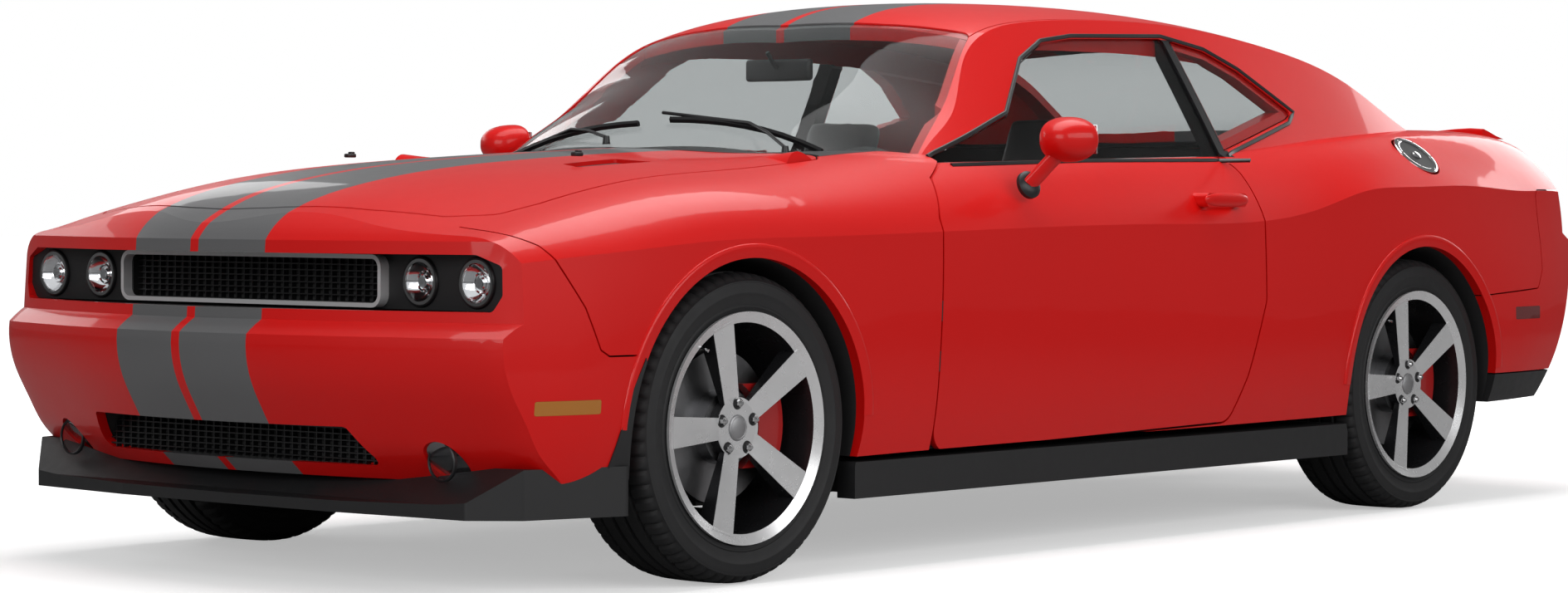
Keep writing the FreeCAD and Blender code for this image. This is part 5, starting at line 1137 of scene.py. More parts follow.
@dataclass
class Lamps:
    """Lenses, rims and projectors of the lamps, and the bars between the tail lamps.

    Attributes:
        centres: Y and height of the left headlamps.
        face: X of the headlamps' face.
        dome: Profile of a headlamp's clear dome.
        rim: Profile of its black rim.
        projector: Profile of the projector in its bowl.
        projector_ring: Profile of the ring round the projector.
        fog_side: Distance of the fog lamps from the middle of the car.
        fog_sink: How far their face lies behind the fog lamps' foremost point.
        fog_dome: Profile of a fog lamp's lens.
        fog_rim: Profile of its rim.
        bar_sides: Where bars divide the tail lamps.
        bar_half: Half of a bar's width.
        bar_margin: Distance of a bar's ends from the lamps' edge.
        bar_rise: How far a bar stands out of the lamps.
        bar_depth: How far it reaches into them.
    """

    centres: Outline = ((0.561, 0.708), (0.741, 0.708))
    face: float = 2.272
    dome: Outline = ((0.0, 0.0100), (0.016, 0.0095), (0.030, 0.0078), (0.042, 0.0048), (0.0500, 0.0004),
                     (0.0500, -0.0020), (0.042, 0.0024), (0.030, 0.0054), (0.016, 0.0071), (0.0, 0.0076))
    rim: Outline = ((0.0505, -0.004), (0.0505, 0.003), (0.0525, 0.0055), (0.0555, 0.0050), (0.0580, 0.0010),
                    (0.0580, -0.004), (0.0505, -0.004))
    projector: Outline = ((0.0, -0.006), (0.010, -0.007), (0.0155, -0.012), (0.0165, -0.018),
                          (0.0140, -0.022), (0.0, -0.022))
    projector_ring: Outline = ((0.0200, -0.016), (0.0200, -0.012), (0.0225, -0.010), (0.0245, -0.012),
                               (0.0245, -0.018), (0.0200, -0.016))
    fog_side: float = 0.65
    fog_sink: float = 0.014
    fog_dome: Outline = ((0.0, 0.005), (0.020, 0.004), (0.034, 0.0015), (0.0385, -0.002), (0.0385, -0.004),
                         (0.0, -0.001))
    fog_rim: Outline = ((0.0390, -0.006), (0.0390, 0.001), (0.0410, 0.003), (0.0440, 0.001),
                        (0.0450, -0.006), (0.0390, -0.006))
    bar_sides: tuple[float, ...] = (-0.38, -0.17, 0.17, 0.38)
    bar_half: float = 0.005
    bar_margin: float = 0.012
    bar_rise: float = 0.0015
    bar_depth: float = 0.012

    def build(self) -> None:
        """Builds the front, fog and tail lamp details."""
        self.headlamps()
        self.fog_lenses()
        self.tail_bars()

    @staticmethod
    def turned_pair(name: str, look: Look, centres: list[Place], *profiles: tuple[Outline, int]) -> None:
        """Turns profiles at the left lamps and repeats them on the right.

        Args:
            name: Name of the piece.
            look: Its finish.
            centres: Middles of the left lamps' faces.
            *profiles: Each profile with the steps of its turn.
        """
        form = Form()
        for centre in centres:
            for profile, steps in profiles:
                form.turned(profile, centre, (1, 0, 0), steps)
        form.mirror()
        form.finish(name, look)

    def headlamps(self) -> None:
        """Covers each bowl with a clear dome in a black rim."""
        centres = [(self.face, y, z) for y, z in self.centres]
        self.turned_pair("headlamp_lenses", Look.LENS, centres, (self.dome, 40))
        self.turned_pair("headlamp_rims", Look.TRIM, centres, (self.rim, 48))
        self.turned_pair("headlamp_projectors", Look.CHROME, centres, (self.projector, 28),
                         (self.projector_ring, 36))

    def fog_lenses(self) -> None:
        """Glazes the fog lamps and rims them."""
        low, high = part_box("fog_lamps")
        centres = [(high[0] - self.fog_sink, self.fog_side, (low[2] + high[2]) / 2)]
        self.turned_pair("fog_lenses", Look.LENS, centres, (self.fog_dome, 36))
        self.turned_pair("fog_rims", Look.TRIM, centres, (self.fog_rim, 40))

    def tail_bars(self) -> None:
        """Divides the tail lamps by dark bars."""
        low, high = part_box("tail_lamps")
        form = Form()
        for y in self.bar_sides:
            form.block((low[0] - self.bar_rise, y - self.bar_half, low[2] + self.bar_margin),
                       (low[0] + self.bar_depth, y + self.bar_half, high[2] - self.bar_margin), 0.002)
        form.finish("tail_lamp_bars", Look.TRIM)


@dataclass
class Mirrors:
    """The door mirrors and the one inside.

    Attributes:
        head: Middle of the left mirror's head.
        head_half: Half of the head's size.
        head_power: How squared off the head is, one being round.
        head_back: Depth of its rear half as a share of the front half.
        head_narrowing: Share of its depth lost towards its ends.
        head_taper: Share of its height lost towards its outer end.
        arm: Middle line of the left mirror's arm.
        arm_half: Half of the arm's width and thickness.
        foot: Middle of the arm's foot on the door.
        foot_aim: Direction in which the foot faces.
        foot_profile: Profile of the foot.
        glass_low: Lowest corner of the left mirror's glass.
        glass_high: Its highest corner.
        room_case: Lowest and highest corner of the inside mirror.
        room_glass: The same corners of its glass.
        room_stem: Middle line of its stem.
        stem_radius: Radius of the stem.
    """

    head: Place = (0.428, 1.004, 1.049)
    head_half: Place = (0.094, 0.080, 0.057)
    head_power: float = 0.85
    head_back: float = 0.35
    head_narrowing: float = 0.25
    head_taper: float = 0.10
    arm: tuple[Place, ...] = ((0.462, 0.988, 1.015), (0.482, 0.960, 0.978), (0.497, 0.940, 0.950),
                              (0.503, 0.928, 0.936))
    arm_half: tuple[float, float] = (0.014, 0.026)
    foot: Place = (0.503, 0.9275, 0.935)
    foot_aim: Place = (0.15, 1.0, 0.35)
    foot_profile: Outline = ((0.0, 0.010), (0.020, 0.010), (0.030, 0.006), (0.036, 0.0), (0.036, -0.010),
                             (0.0, -0.010))
    glass_low: Place = (0.3915, 0.950, 1.013)
    glass_high: Place = (0.3960, 1.058, 1.086)
    room_case: tuple[Place, Place] = ((0.392, -0.115, 1.213), (0.414, 0.115, 1.272))
    room_glass: tuple[Place, Place] = ((0.3905, -0.108, 1.219), (0.393, 0.108, 1.266))
    room_stem: tuple[Place, ...] = ((0.412, 0.0, 1.248), (0.430, 0.0, 1.262), (0.452, 0.0, 1.290))
    stem_radius: float = 0.006

    def build(self) -> None:
        """Builds the mirrors."""
        for side, label in SIDES:
            self.shell(side, label)
            self.glass(side, label)
        self.room_mirror()

    def shell(self, side: int, label: str) -> None:
        """Shapes a rounded mirror head with its arm and foot.

        Args:
            side: Sign of Y on this side.
            label: Name of this side.
        """
        shell, foot = Form(), Form()
        for vert in bmesh.ops.create_icosphere(shell.mesh, subdivisions=4, radius=1.0)["verts"]:
            along, across, up = vert.co
            depth = self.head_half[0] * along * (self.head_back if along < 0 else 1.0)
            width = self.head_half[1] * squared_off(across, self.head_power)
            height = self.head_half[2] * squared_off(up, self.head_power) * (1.0 - self.head_taper * across)
            vert.co = Vector((self.head[0] + depth * (1 - self.head_narrowing * across * across),
                              side * (self.head[1] + width), self.head[2] + height))
        turns = [math.radians(turn) for turn in range(0, 360, 24)]
        oval = [(self.arm_half[0] * math.cos(turn), self.arm_half[1] * math.sin(turn)) for turn in turns]
        shell.sweep([Vector((x, side * y, z)) for x, y, z in self.arm], (1.0, 0.0, 0.3), oval)
        made = shell.finish(f"mirror_shell_{label}", Look.PAINT, f"door_{label}", 60.0)
        (x, y, z), (aim_x, aim_y, aim_z) = self.foot, self.foot_aim
        foot.turned(self.foot_profile, (x, side * y, z), (aim_x, side * aim_y, aim_z), 32)
        foot.finish(f"mirror_foot_{label}", Look.TRIM, f"door_{label}")
        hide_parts(f"mirror_{label}")

    def glass(self, side: int, label: str) -> None:
        """Sets the glass in the back of a mirror.

        Args:
            side: Sign of Y on this side.
            label: Name of this side.
        """
        form = Form()
        for vert in form.block(self.glass_low, self.glass_high, 0.002):
            vert.co.y *= side
        form.finish(f"mirror_glass_door_{label}", Look.MIRROR_GLASS, f"door_{label}")

    def room_mirror(self) -> None:
        """Hangs the inside mirror from the windshield."""
        form, glass = Form(), Form()
        form.block(*self.room_case, 0.009, 4)
        form.tube(self.room_stem, self.stem_radius)
        form.finish("room_mirror", Look.TRIM)
        glass.block(*self.room_glass, 0.001)
        glass.finish("room_mirror_glass", Look.MIRROR_GLASS)


@dataclass
class Fittings:
    """Door grips, deck spoiler, fuel lid rings and rear plate.

    Attributes:
        grip: Side-view place of a door grip's middle.
        grip_seat: Height at which the door's skin is found under the grip.
        grip_half: Half of a grip's length, thickness and height.
        grip_powers: How squared off a grip is along and up, one being round.
        grip_sink: How far a grip's middle lies under the door's skin.
        spoiler_x: X of the spoiler's middle.
        spoiler_bow: How far its ends lie forward of its middle.
        spoiler_half: Half of the spoiler's length.
        spoiler_sink: How far the spoiler's foot lies under the lid's skin.
        spoiler_steps: Steps along half of the spoiler.
        spoiler_section: Section of the spoiler.
        fuel_centre: Middle of the fuel lid.
        fuel_tilt: Angle of the lid over the upright, degrees.
        fuel_rise: How far the rings stand on the lid.
        fuel_rim: Profile of the outer ring.
        fuel_knob: Profile of the knob in the middle.
        fuel_middle: Profile of the dark part between them.
        fuel_screws: Screws in the outer ring.
        fuel_screw_circle: Radius of the circle of screws.
        fuel_screw_ends: Heights of a screw's foot and head over the lid.
        fuel_screw_radii: Radius of a screw at its foot and head.
        plate_size: Thickness, length and height of the plate.
        plate_foot: Height of the plate's lower edge.
        bolt_sides: Where the plate's bolts are, to either side.
        bolt_height: Height of the bolts.
        bolt_ends: Where a bolt starts and ends, as distances ahead of the plate's rear face.
        bolt_radii: Radius of a bolt at both ends.
    """

    grip: tuple[float, float] = (-0.353, 0.898)
    grip_seat: float = 0.900
    grip_half: Place = (0.102, 0.011, 0.019)
    grip_powers: tuple[float, float] = (0.7, 0.8)
    grip_sink: float = 0.002
    spoiler_x: float = -2.285
    spoiler_bow: float = 0.05
    spoiler_half: float = 0.642
    spoiler_sink: float = 0.002
    spoiler_steps: int = 12
    spoiler_section: Outline = ((-0.075, -0.004), (-0.040, 0.006), (-0.006, 0.019), (0.018, 0.027),
                                (0.024, 0.024), (0.022, 0.008), (0.012, -0.006))
    fuel_centre: Place = (-1.485, 0.8425, 1.0295)
    fuel_tilt: float = 49.0
    fuel_rise: float = 0.001
    fuel_rim: Outline = ((0.0600, 0.000), (0.0605, 0.003), (0.0640, 0.0045), (0.0720, 0.0045),
                         (0.0760, 0.002), (0.0765, 0.0))
    fuel_knob: Outline = ((0.0, 0.0060), (0.0120, 0.0058), (0.0150, 0.0040), (0.0155, 0.0))
    fuel_middle: Outline = ((0.0158, 0.001), (0.0160, 0.0022), (0.0590, 0.0022), (0.0598, 0.001))
    fuel_screws: int = 6
    fuel_screw_circle: float = 0.068
    fuel_screw_ends: tuple[float, float] = (0.003, 0.0062)
    fuel_screw_radii: tuple[float, float] = (0.0032, 0.0026)
    plate_size: Place = (0.006, 0.310, 0.150)
    plate_foot: float = 0.485
    bolt_sides: tuple[float, float] = (-0.09, 0.09)
    bolt_height: float = 0.618
    bolt_ends: tuple[float, float] = (0.002, -0.003)
    bolt_radii: tuple[float, float] = (0.006, 0.005)

    def build(self) -> None:
        """Builds the fittings."""
        self.door_grips()
        self.deck_spoiler()
        self.fuel_rings()
        self.rear_plate()

    def door_grips(self) -> None:
        """Rounds each door's handle."""
        x, z = self.grip
        skin = Surface("door_left").side(x, self.grip_seat).y - self.grip_sink
        for side, label in SIDES:
            form = Form()
            for vert in bmesh.ops.create_icosphere(form.mesh, subdivisions=4, radius=1.0)["verts"]:
                along, out, up = vert.co
                vert.co = Vector((x + self.grip_half[0] * squared_off(along, self.grip_powers[0]),
                                  side * (skin + self.grip_half[1] * out),
                                  z + self.grip_half[2] * squared_off(up, self.grip_powers[1])))
            form.finish(f"door_grip_{label}", Look.PAINT, f"door_{label}", 60.0)

    def deck_spoiler(self) -> None:
        """Lays the low spoiler lip along the rear of the deck lid."""
        deck = Surface("deck_lid", "rear_bumper_cover", "body_side_left", "body_side_right")
        form = Form()
        path = []
        for step in range(-self.spoiler_steps, self.spoiler_steps + 1):
            share = step / self.spoiler_steps
            spot = deck.top(self.spoiler_x + self.spoiler_bow * abs(share) ** 3, share * self.spoiler_half)
            path.append(spot - UP * self.spoiler_sink)
        form.sweep(path, UP, self.spoiler_section)
        form.finish("deck_spoiler", Look.PAINT, "deck_lid", 40.0)

    def fuel_rings(self) -> None:
        """Rings the fuel lid, with its dark middle and its screws."""
        turn = math.radians(self.fuel_tilt)
        out = Vector((0.0, math.cos(turn), math.sin(turn)))
        centre = Vector(self.fuel_centre) + out * self.fuel_rise
        ring, middle = Form(), Form()
        ring.turned(self.fuel_rim, centre, out, 64)
        ring.turned(self.fuel_knob, centre, out, 32)
        middle.turned(self.fuel_middle, centre, out, 64)
        reach = out.orthogonal().normalized() * self.fuel_screw_circle
        for number in range(self.fuel_screws):
            place = centre + Matrix.Rotation(2 * math.pi * number / self.fuel_screws, 3, out) @ reach
            foot, head = (place + out * end for end in self.fuel_screw_ends)
            ring.rod(foot, head, *self.fuel_screw_radii, 10)
        ring.finish("fuel_lid_ring", Look.CHROME, "fuel_door")
        middle.finish("fuel_lid_middle", Look.TRIM, "fuel_door")

    def rear_plate(self) -> None:
        """Bolts a blank plate to the rear bumper."""
        thickness, length, height = self.plate_size
        middle = self.plate_foot + height / 2
        spot = Surface("rear_bumper_cover").meet((-4.0, 0.0, middle), (1.0, 0.0, 0.0), (-2.50, 0.0, middle))
        low = Vector((spot.x - thickness / 2, -length / 2, self.plate_foot))
        form, bolts = Form(), Form()
        form.block(low, low + Vector(self.plate_size), 0.0015)
        form.finish("rear_plate", Look.ALLOY)
        for y in self.bolt_sides:
            start, end = ((low.x + ahead, y, self.bolt_height) for ahead in self.bolt_ends)
            bolts.rod(start, end, *self.bolt_radii, 6)
        bolts.finish("plate_bolts", Look.CHROME)


# Seats
def ridge(distance: float, width: float) -> float:
    """Gives the height of a rounded ridge, one at its crest, at a distance from the crest."""
    return math.exp(-(distance / width) ** 2)


def about_y(degrees: float) -> Matrix:
    """Gives a turn about the Y axis."""
    return Matrix.Rotation(math.radians(degrees), 4, "Y")


@dataclass
class Pad:
    """One padded form of a seat.

    Attributes:
        name: Name of the pad.
        size: Length, width and thickness.
        place: Where its middle lies and how it is turned.
        channels: Sewn channels across it.
        bolster: How far the side bolsters stand up.
        bolster_line: Share of the half width at which a bolster's crest lies.
        bolster_width: Width of a bolster as such a share.
        seam_line: Share of the half width at which the seam inside a bolster lies.
        seam_width: Width of the seam as such a share.
        seam_depth: Depth of the seam.
        channel_reach: Share of the half width that the channels reach.
        channel_width: Width of a channel as a share of their spacing.
        channel_depth: Depth of a channel.
        edge_height: Height at the edges as a share of the height in the middle.
        crown_power: How flat the middle is; less is flatter.
        edge_pull: Share of the length and width lost at the top and bottom face.
        corner_pull: Share lost at the corners.
        fill: How firmly the pad is filled; not used.
    """

    name: str
    size: Place
    place: Matrix
    channels: int = 4
    bolster: float = 0.018
    bolster_line: ClassVar[float] = 0.80
    bolster_width: ClassVar[float] = 0.13
    seam_line: ClassVar[float] = 0.60
    seam_width: ClassVar[float] = 0.022
    seam_depth: ClassVar[float] = 0.006
    channel_reach: ClassVar[float] = 0.58
    channel_width: ClassVar[float] = 0.075
    channel_depth: ClassVar[float] = 0.007
    edge_height: ClassVar[float] = 0.52
    crown_power: ClassVar[float] = 0.35
    edge_pull: ClassVar[float] = 0.03
    corner_pull: ClassVar[float] = 0.05
    fill: ClassVar[float] = 0.7

    def relief(self, u: float, v: float) -> float:
        """Gives how far bolsters, seams and channels lift or sink the top.

        Args:
            u: Share of the half length.
            v: Share of the half width.

        Returns:
            The rise in metres.
        """
        across = abs(v)
        phase = (u + 1) / 2 * (self.channels + 1)
        rise = self.bolster * ridge(across - self.bolster_line, self.bolster_width) * (1 - u ** 6)
        rise -= self.seam_depth * ridge(across - self.seam_line, self.seam_width) * (1 - u ** 8)
        if across < self.channel_reach and 0 < round(phase) <= self.channels:
            rise -= self.channel_depth * ridge(phase - round(phase), self.channel_width)
        return rise

    def build(self) -> bpy.types.Object:
        """Shapes the crowned pad with its seams and channels.

        Returns:
            The pad.
        """
        form = Form()
        bmesh.ops.create_cube(form.mesh, size=2.0)
        bmesh.ops.subdivide_edges(form.mesh, edges=form.mesh.edges, cuts=19, use_grid_fill=True)
        length, width, depth = (value / 2 for value in self.size)
        for vert in form.mesh.verts:
            u, v, w = vert.co
            crown = ((1 - u ** 4) * (1 - v ** 4)) ** self.crown_power
            rise = depth * w * (self.edge_height + (1 - self.edge_height) * crown)
            if w > 0:
                rise += self.relief(u, v)
            pull = self.edge_pull * w * w
            along = u * (1 - self.corner_pull * abs(v) ** 6 - pull) * (1 - pull)
            across = v * (1 - self.corner_pull * abs(u) ** 6 - pull) * (1 - pull)
            vert.co = Vector((length * along, width * across, rise))
        bmesh.ops.transform(form.mesh, matrix=self.place, verts=form.mesh.verts)
        pad = form.finish(self.name, Look.LEATHER, smooth=60.0)
        smooth = pad.modifiers.new("smooth", "SUBSURF")
        smooth.levels = smooth.render_levels = 1
        return pad


# Cabin
@dataclass
class Cabin:
    """Seats, instruments and controls.

    Attributes:
        seat_side: Distance of a front seat from the middle of the car.
        cushion: Size of a front cushion.
        cushion_place: X and height of its middle.
        cushion_turn: Its turn about Y, degrees.
        back: Size of a front back.
        back_place: X and height of its middle.
        back_turn: Turn of the back and head restraint about Y, degrees.
        head: Size of a head restraint.
        head_place: X and height of its middle.
        base: X and height of a seat base's lowest and highest corners.
        base_half: Half of its width.
        rails: The same two corners of its rails.
        rail_side: Distance of a rail from the seat's middle.
        rail_half: Half of a rail's width.
        post: X and height of a head restraint post's ends.
        post_side: Distance of a post from the seat's middle.
        post_radius: Radius of a post.
        rear_side: Distance of a rear seat from the middle of the car.
        rear_cushion: Size of a rear cushion.
        rear_cushion_place: X and height of its middle.
        rear_back: Size of a rear back.
        rear_back_place: X and height of its middle.
        rear_turn: Turn of the rear back about Y, degrees.
        dial_height: Height of the dials.
        dials: Y and radius of each dial.
        dial_rim: Profile of a dial's rim, its radii as shares of the dial's.
        vent_sides: Y of the middle of each vent.
        vent_half: Half of a vent's length.
        vent_edge: Width of a vent's edge beside the slats.
        vent_heights: Heights of a vent's foot and head.
        slats: Slats in a vent.
        slat_foot: Height of the lowest slat.
        slat_pitch: Distance from one slat to the next.
        screen_sides: Lowest and highest Y and height of the screen.
        lever: Middle line of the shift lever.
        knob: Profile of its knob.
        knob_middle: Where the knob's profile starts.
        lever_radius: Radius of the lever and of the pedal arms.
        pedals: Y and width of each pedal.
        pedal_corners: X and height of a pedal's lowest and highest corners.
        pedal_arm: X and height of a pedal arm's points.
    """

    seat_side: float = 0.37
    cushion: Place = (0.50, 0.50, 0.14)
    cushion_place: tuple[float, float] = (0.190, 0.405)
    cushion_turn: float = -4.0
    back: Place = (0.56, 0.48, 0.11)
    back_place: tuple[float, float] = (-0.135, 0.715)
    back_turn: float = -112.0
    head: Place = (0.17, 0.25, 0.085)
    head_place: tuple[float, float] = (-0.292, 1.035)
    base: Outline = ((-0.05, 0.312), (0.43, 0.352))
    base_half: float = 0.215
    rails: Outline = ((-0.02, 0.302), (0.40, 0.322))
    rail_side: float = 0.19
    rail_half: float = 0.018
    post: Outline = ((-0.235, 0.93), (-0.285, 1.04))
    post_side: float = 0.055
    post_radius: float = 0.006
    rear_side: float = 0.315
    rear_cushion: Place = (0.46, 0.46, 0.13)
    rear_cushion_place: tuple[float, float] = (-0.80, 0.41)
    rear_back: Place = (0.50, 0.50, 0.10)
    rear_back_place: tuple[float, float] = (-1.055, 0.66)
    rear_turn: float = -104.0
    dial_height: float = 0.865
    dials: Outline = ((0.265, 0.026), (0.330, 0.040), (0.410, 0.040), (0.475, 0.026))
    dial_rim: Outline = ((1.0, -0.002), (1.0, 0.006), (1.12, 0.008), (1.2, 0.001), (1.2, -0.002))
    vent_sides: tuple[float, ...] = (0.66, 0.10, -0.10, -0.62)
    vent_half: float = 0.05
    vent_edge: float = 0.008
    vent_heights: tuple[float, float] = (0.822, 0.872)
    slats: int = 4
    slat_foot: float = 0.830
    slat_pitch: float = 0.011
    screen_sides: Outline = ((-0.085, 0.700), (0.085, 0.805))
    lever: tuple[Place, ...] = ((0.20, 0.0, 0.52), (0.205, 0.0, 0.60), (0.195, 0.0, 0.64))
    knob: Outline = ((0.0, 0.030), (0.014, 0.028), (0.023, 0.016), (0.024, 0.004), (0.016, -0.010),
                     (0.0, -0.012))
    knob_middle: Place = (0.194, 0.0, 0.650)
    lever_radius: float = 0.007
    pedals: Outline = ((0.30, 0.06), (0.44, 0.09))
    pedal_corners: Outline = ((0.700, 0.42), (0.712, 0.50))
    pedal_arm: Outline = ((0.712, 0.46), (0.760, 0.56), (0.800, 0.66))

    def build(self) -> None:
        """Builds the cabin."""
        self.front_seats()
        self.rear_seats()
        self.instruments()
        self.controls()

    @staticmethod
    def pad(name: str, size: Place, middle: Place, turn: float, **settings: float) -> bpy.types.Object:
        """Builds one pad of a seat.

        Args:
            name: Name of the pad.
            size: Length, width and thickness.
            middle: Where its middle lies.
            turn: Turn about Y, degrees.
            **settings: Other settings of the pad.

        Returns:
            The pad.
        """
        return Pad(name, size, Matrix.Translation(middle) @ about_y(turn), **settings).build()

    def front_seats(self) -> None:
        """Makes both front seats from their pads, on frames with rails."""
        form = Form()
        for side, label in SIDES:
            y = self.seat_side * side
            places = (self.cushion_place, self.back_place, self.head_place)
            cushion, back, head = ((x, y, z) for x, z in places)
            self.pad(f"seat_cushion_{label}", self.cushion, cushion, self.cushion_turn)
            self.pad(f"seat_back_{label}", self.back, back, self.back_turn, channels=5)
            self.pad(f"head_restraint_{label}", self.head, head, self.back_turn, channels=0, bolster=0.0)
            self.bar(form, y, self.base_half, self.base, 0.012)
            for offset in (-self.rail_side, self.rail_side):
                self.bar(form, y + offset, self.rail_half, self.rails, 0.003)
            for offset in (-self.post_side, self.post_side):
                form.tube([(x, y + offset, z) for x, z in self.post], self.post_radius)
        frames = form.finish("seat_frames", Look.CABIN)
        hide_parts("front_seats")
        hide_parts("front_seats")

    @staticmethod
    def bar(form: Form, y: float, half: float, corners: Outline, rounding: float) -> None:
        """Adds a bar of a seat's frame, or a pedal.

        Args:
            form: The form it is added to.
            y: Y of the bar's middle.
            half: Half of its width.
            corners: X and height of its lowest and highest corners.
            rounding: Radius of its edges.
        """
        (low_x, low_z), (high_x, high_z) = corners
        form.block((low_x, y - half, low_z), (high_x, y + half, high_z), rounding)

    def rear_seats(self) -> None:
        """Makes the rear bench and its back in two halves."""
        for side, label in SIDES:
            y = self.rear_side * side
            cushion, back = ((x, y, z) for x, z in (self.rear_cushion_place, self.rear_back_place))
            self.pad(f"rear_cushion_{label}", self.rear_cushion, cushion, 0.0)
            self.pad(f"rear_back_{label}", self.rear_back, back, self.rear_turn, channels=5)
        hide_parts("rear_seat")

    def instruments(self) -> None:
        """Adds four round dials, vents and the screen to the dash."""
        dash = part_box("dashboard")[0][0]
        rims, faces, vents = Form(), Form(), Form()
        for y, size in self.dials:
            centre = (dash - 0.001, y, self.dial_height)
            rims.turned([(size * share, rise) for share, rise in self.dial_rim], centre, (-1, 0, 0), 40)
            faces.turned([(0.0, 0.002), (size * 0.98, 0.002), (size * 0.98, 0.0)], centre, (-1, 0, 0), 32)
        foot, head = self.vent_heights
        for y in self.vent_sides:
            half = self.vent_half
            vents.block((dash - 0.008, y - half, foot), (dash + 0.004, y + half, head), 0.006)
            half -= self.vent_edge
            for row in range(self.slats):
                z = self.slat_foot + row * self.slat_pitch
                vents.block((dash - 0.011, y - half, z), (dash - 0.006, y + half, z + 0.003), 0.001)
        (left, foot), (right, head) = self.screen_sides
        vents.block((dash - 0.006, left, foot), (dash + 0.004, right, head), 0.005)
        rims.finish("dial_rings", Look.CHROME)
        faces.finish("dial_faces", Look.TRIM)
        vents.finish("dash_vents", Look.CABIN)

    def controls(self) -> None:
        """Adds the shift lever and the pedals."""
        form = Form()
        form.tube(self.lever, self.lever_radius)
        form.turned(self.knob, self.knob_middle, (0, 0, 1), 24)
        for y, width in self.pedals:
            self.bar(form, y, width / 2, self.pedal_corners, 0.004)
            form.tube([(x, y, z) for x, z in self.pedal_arm], self.lever_radius)
        form.finish("lever_and_pedals", Look.TRIM)


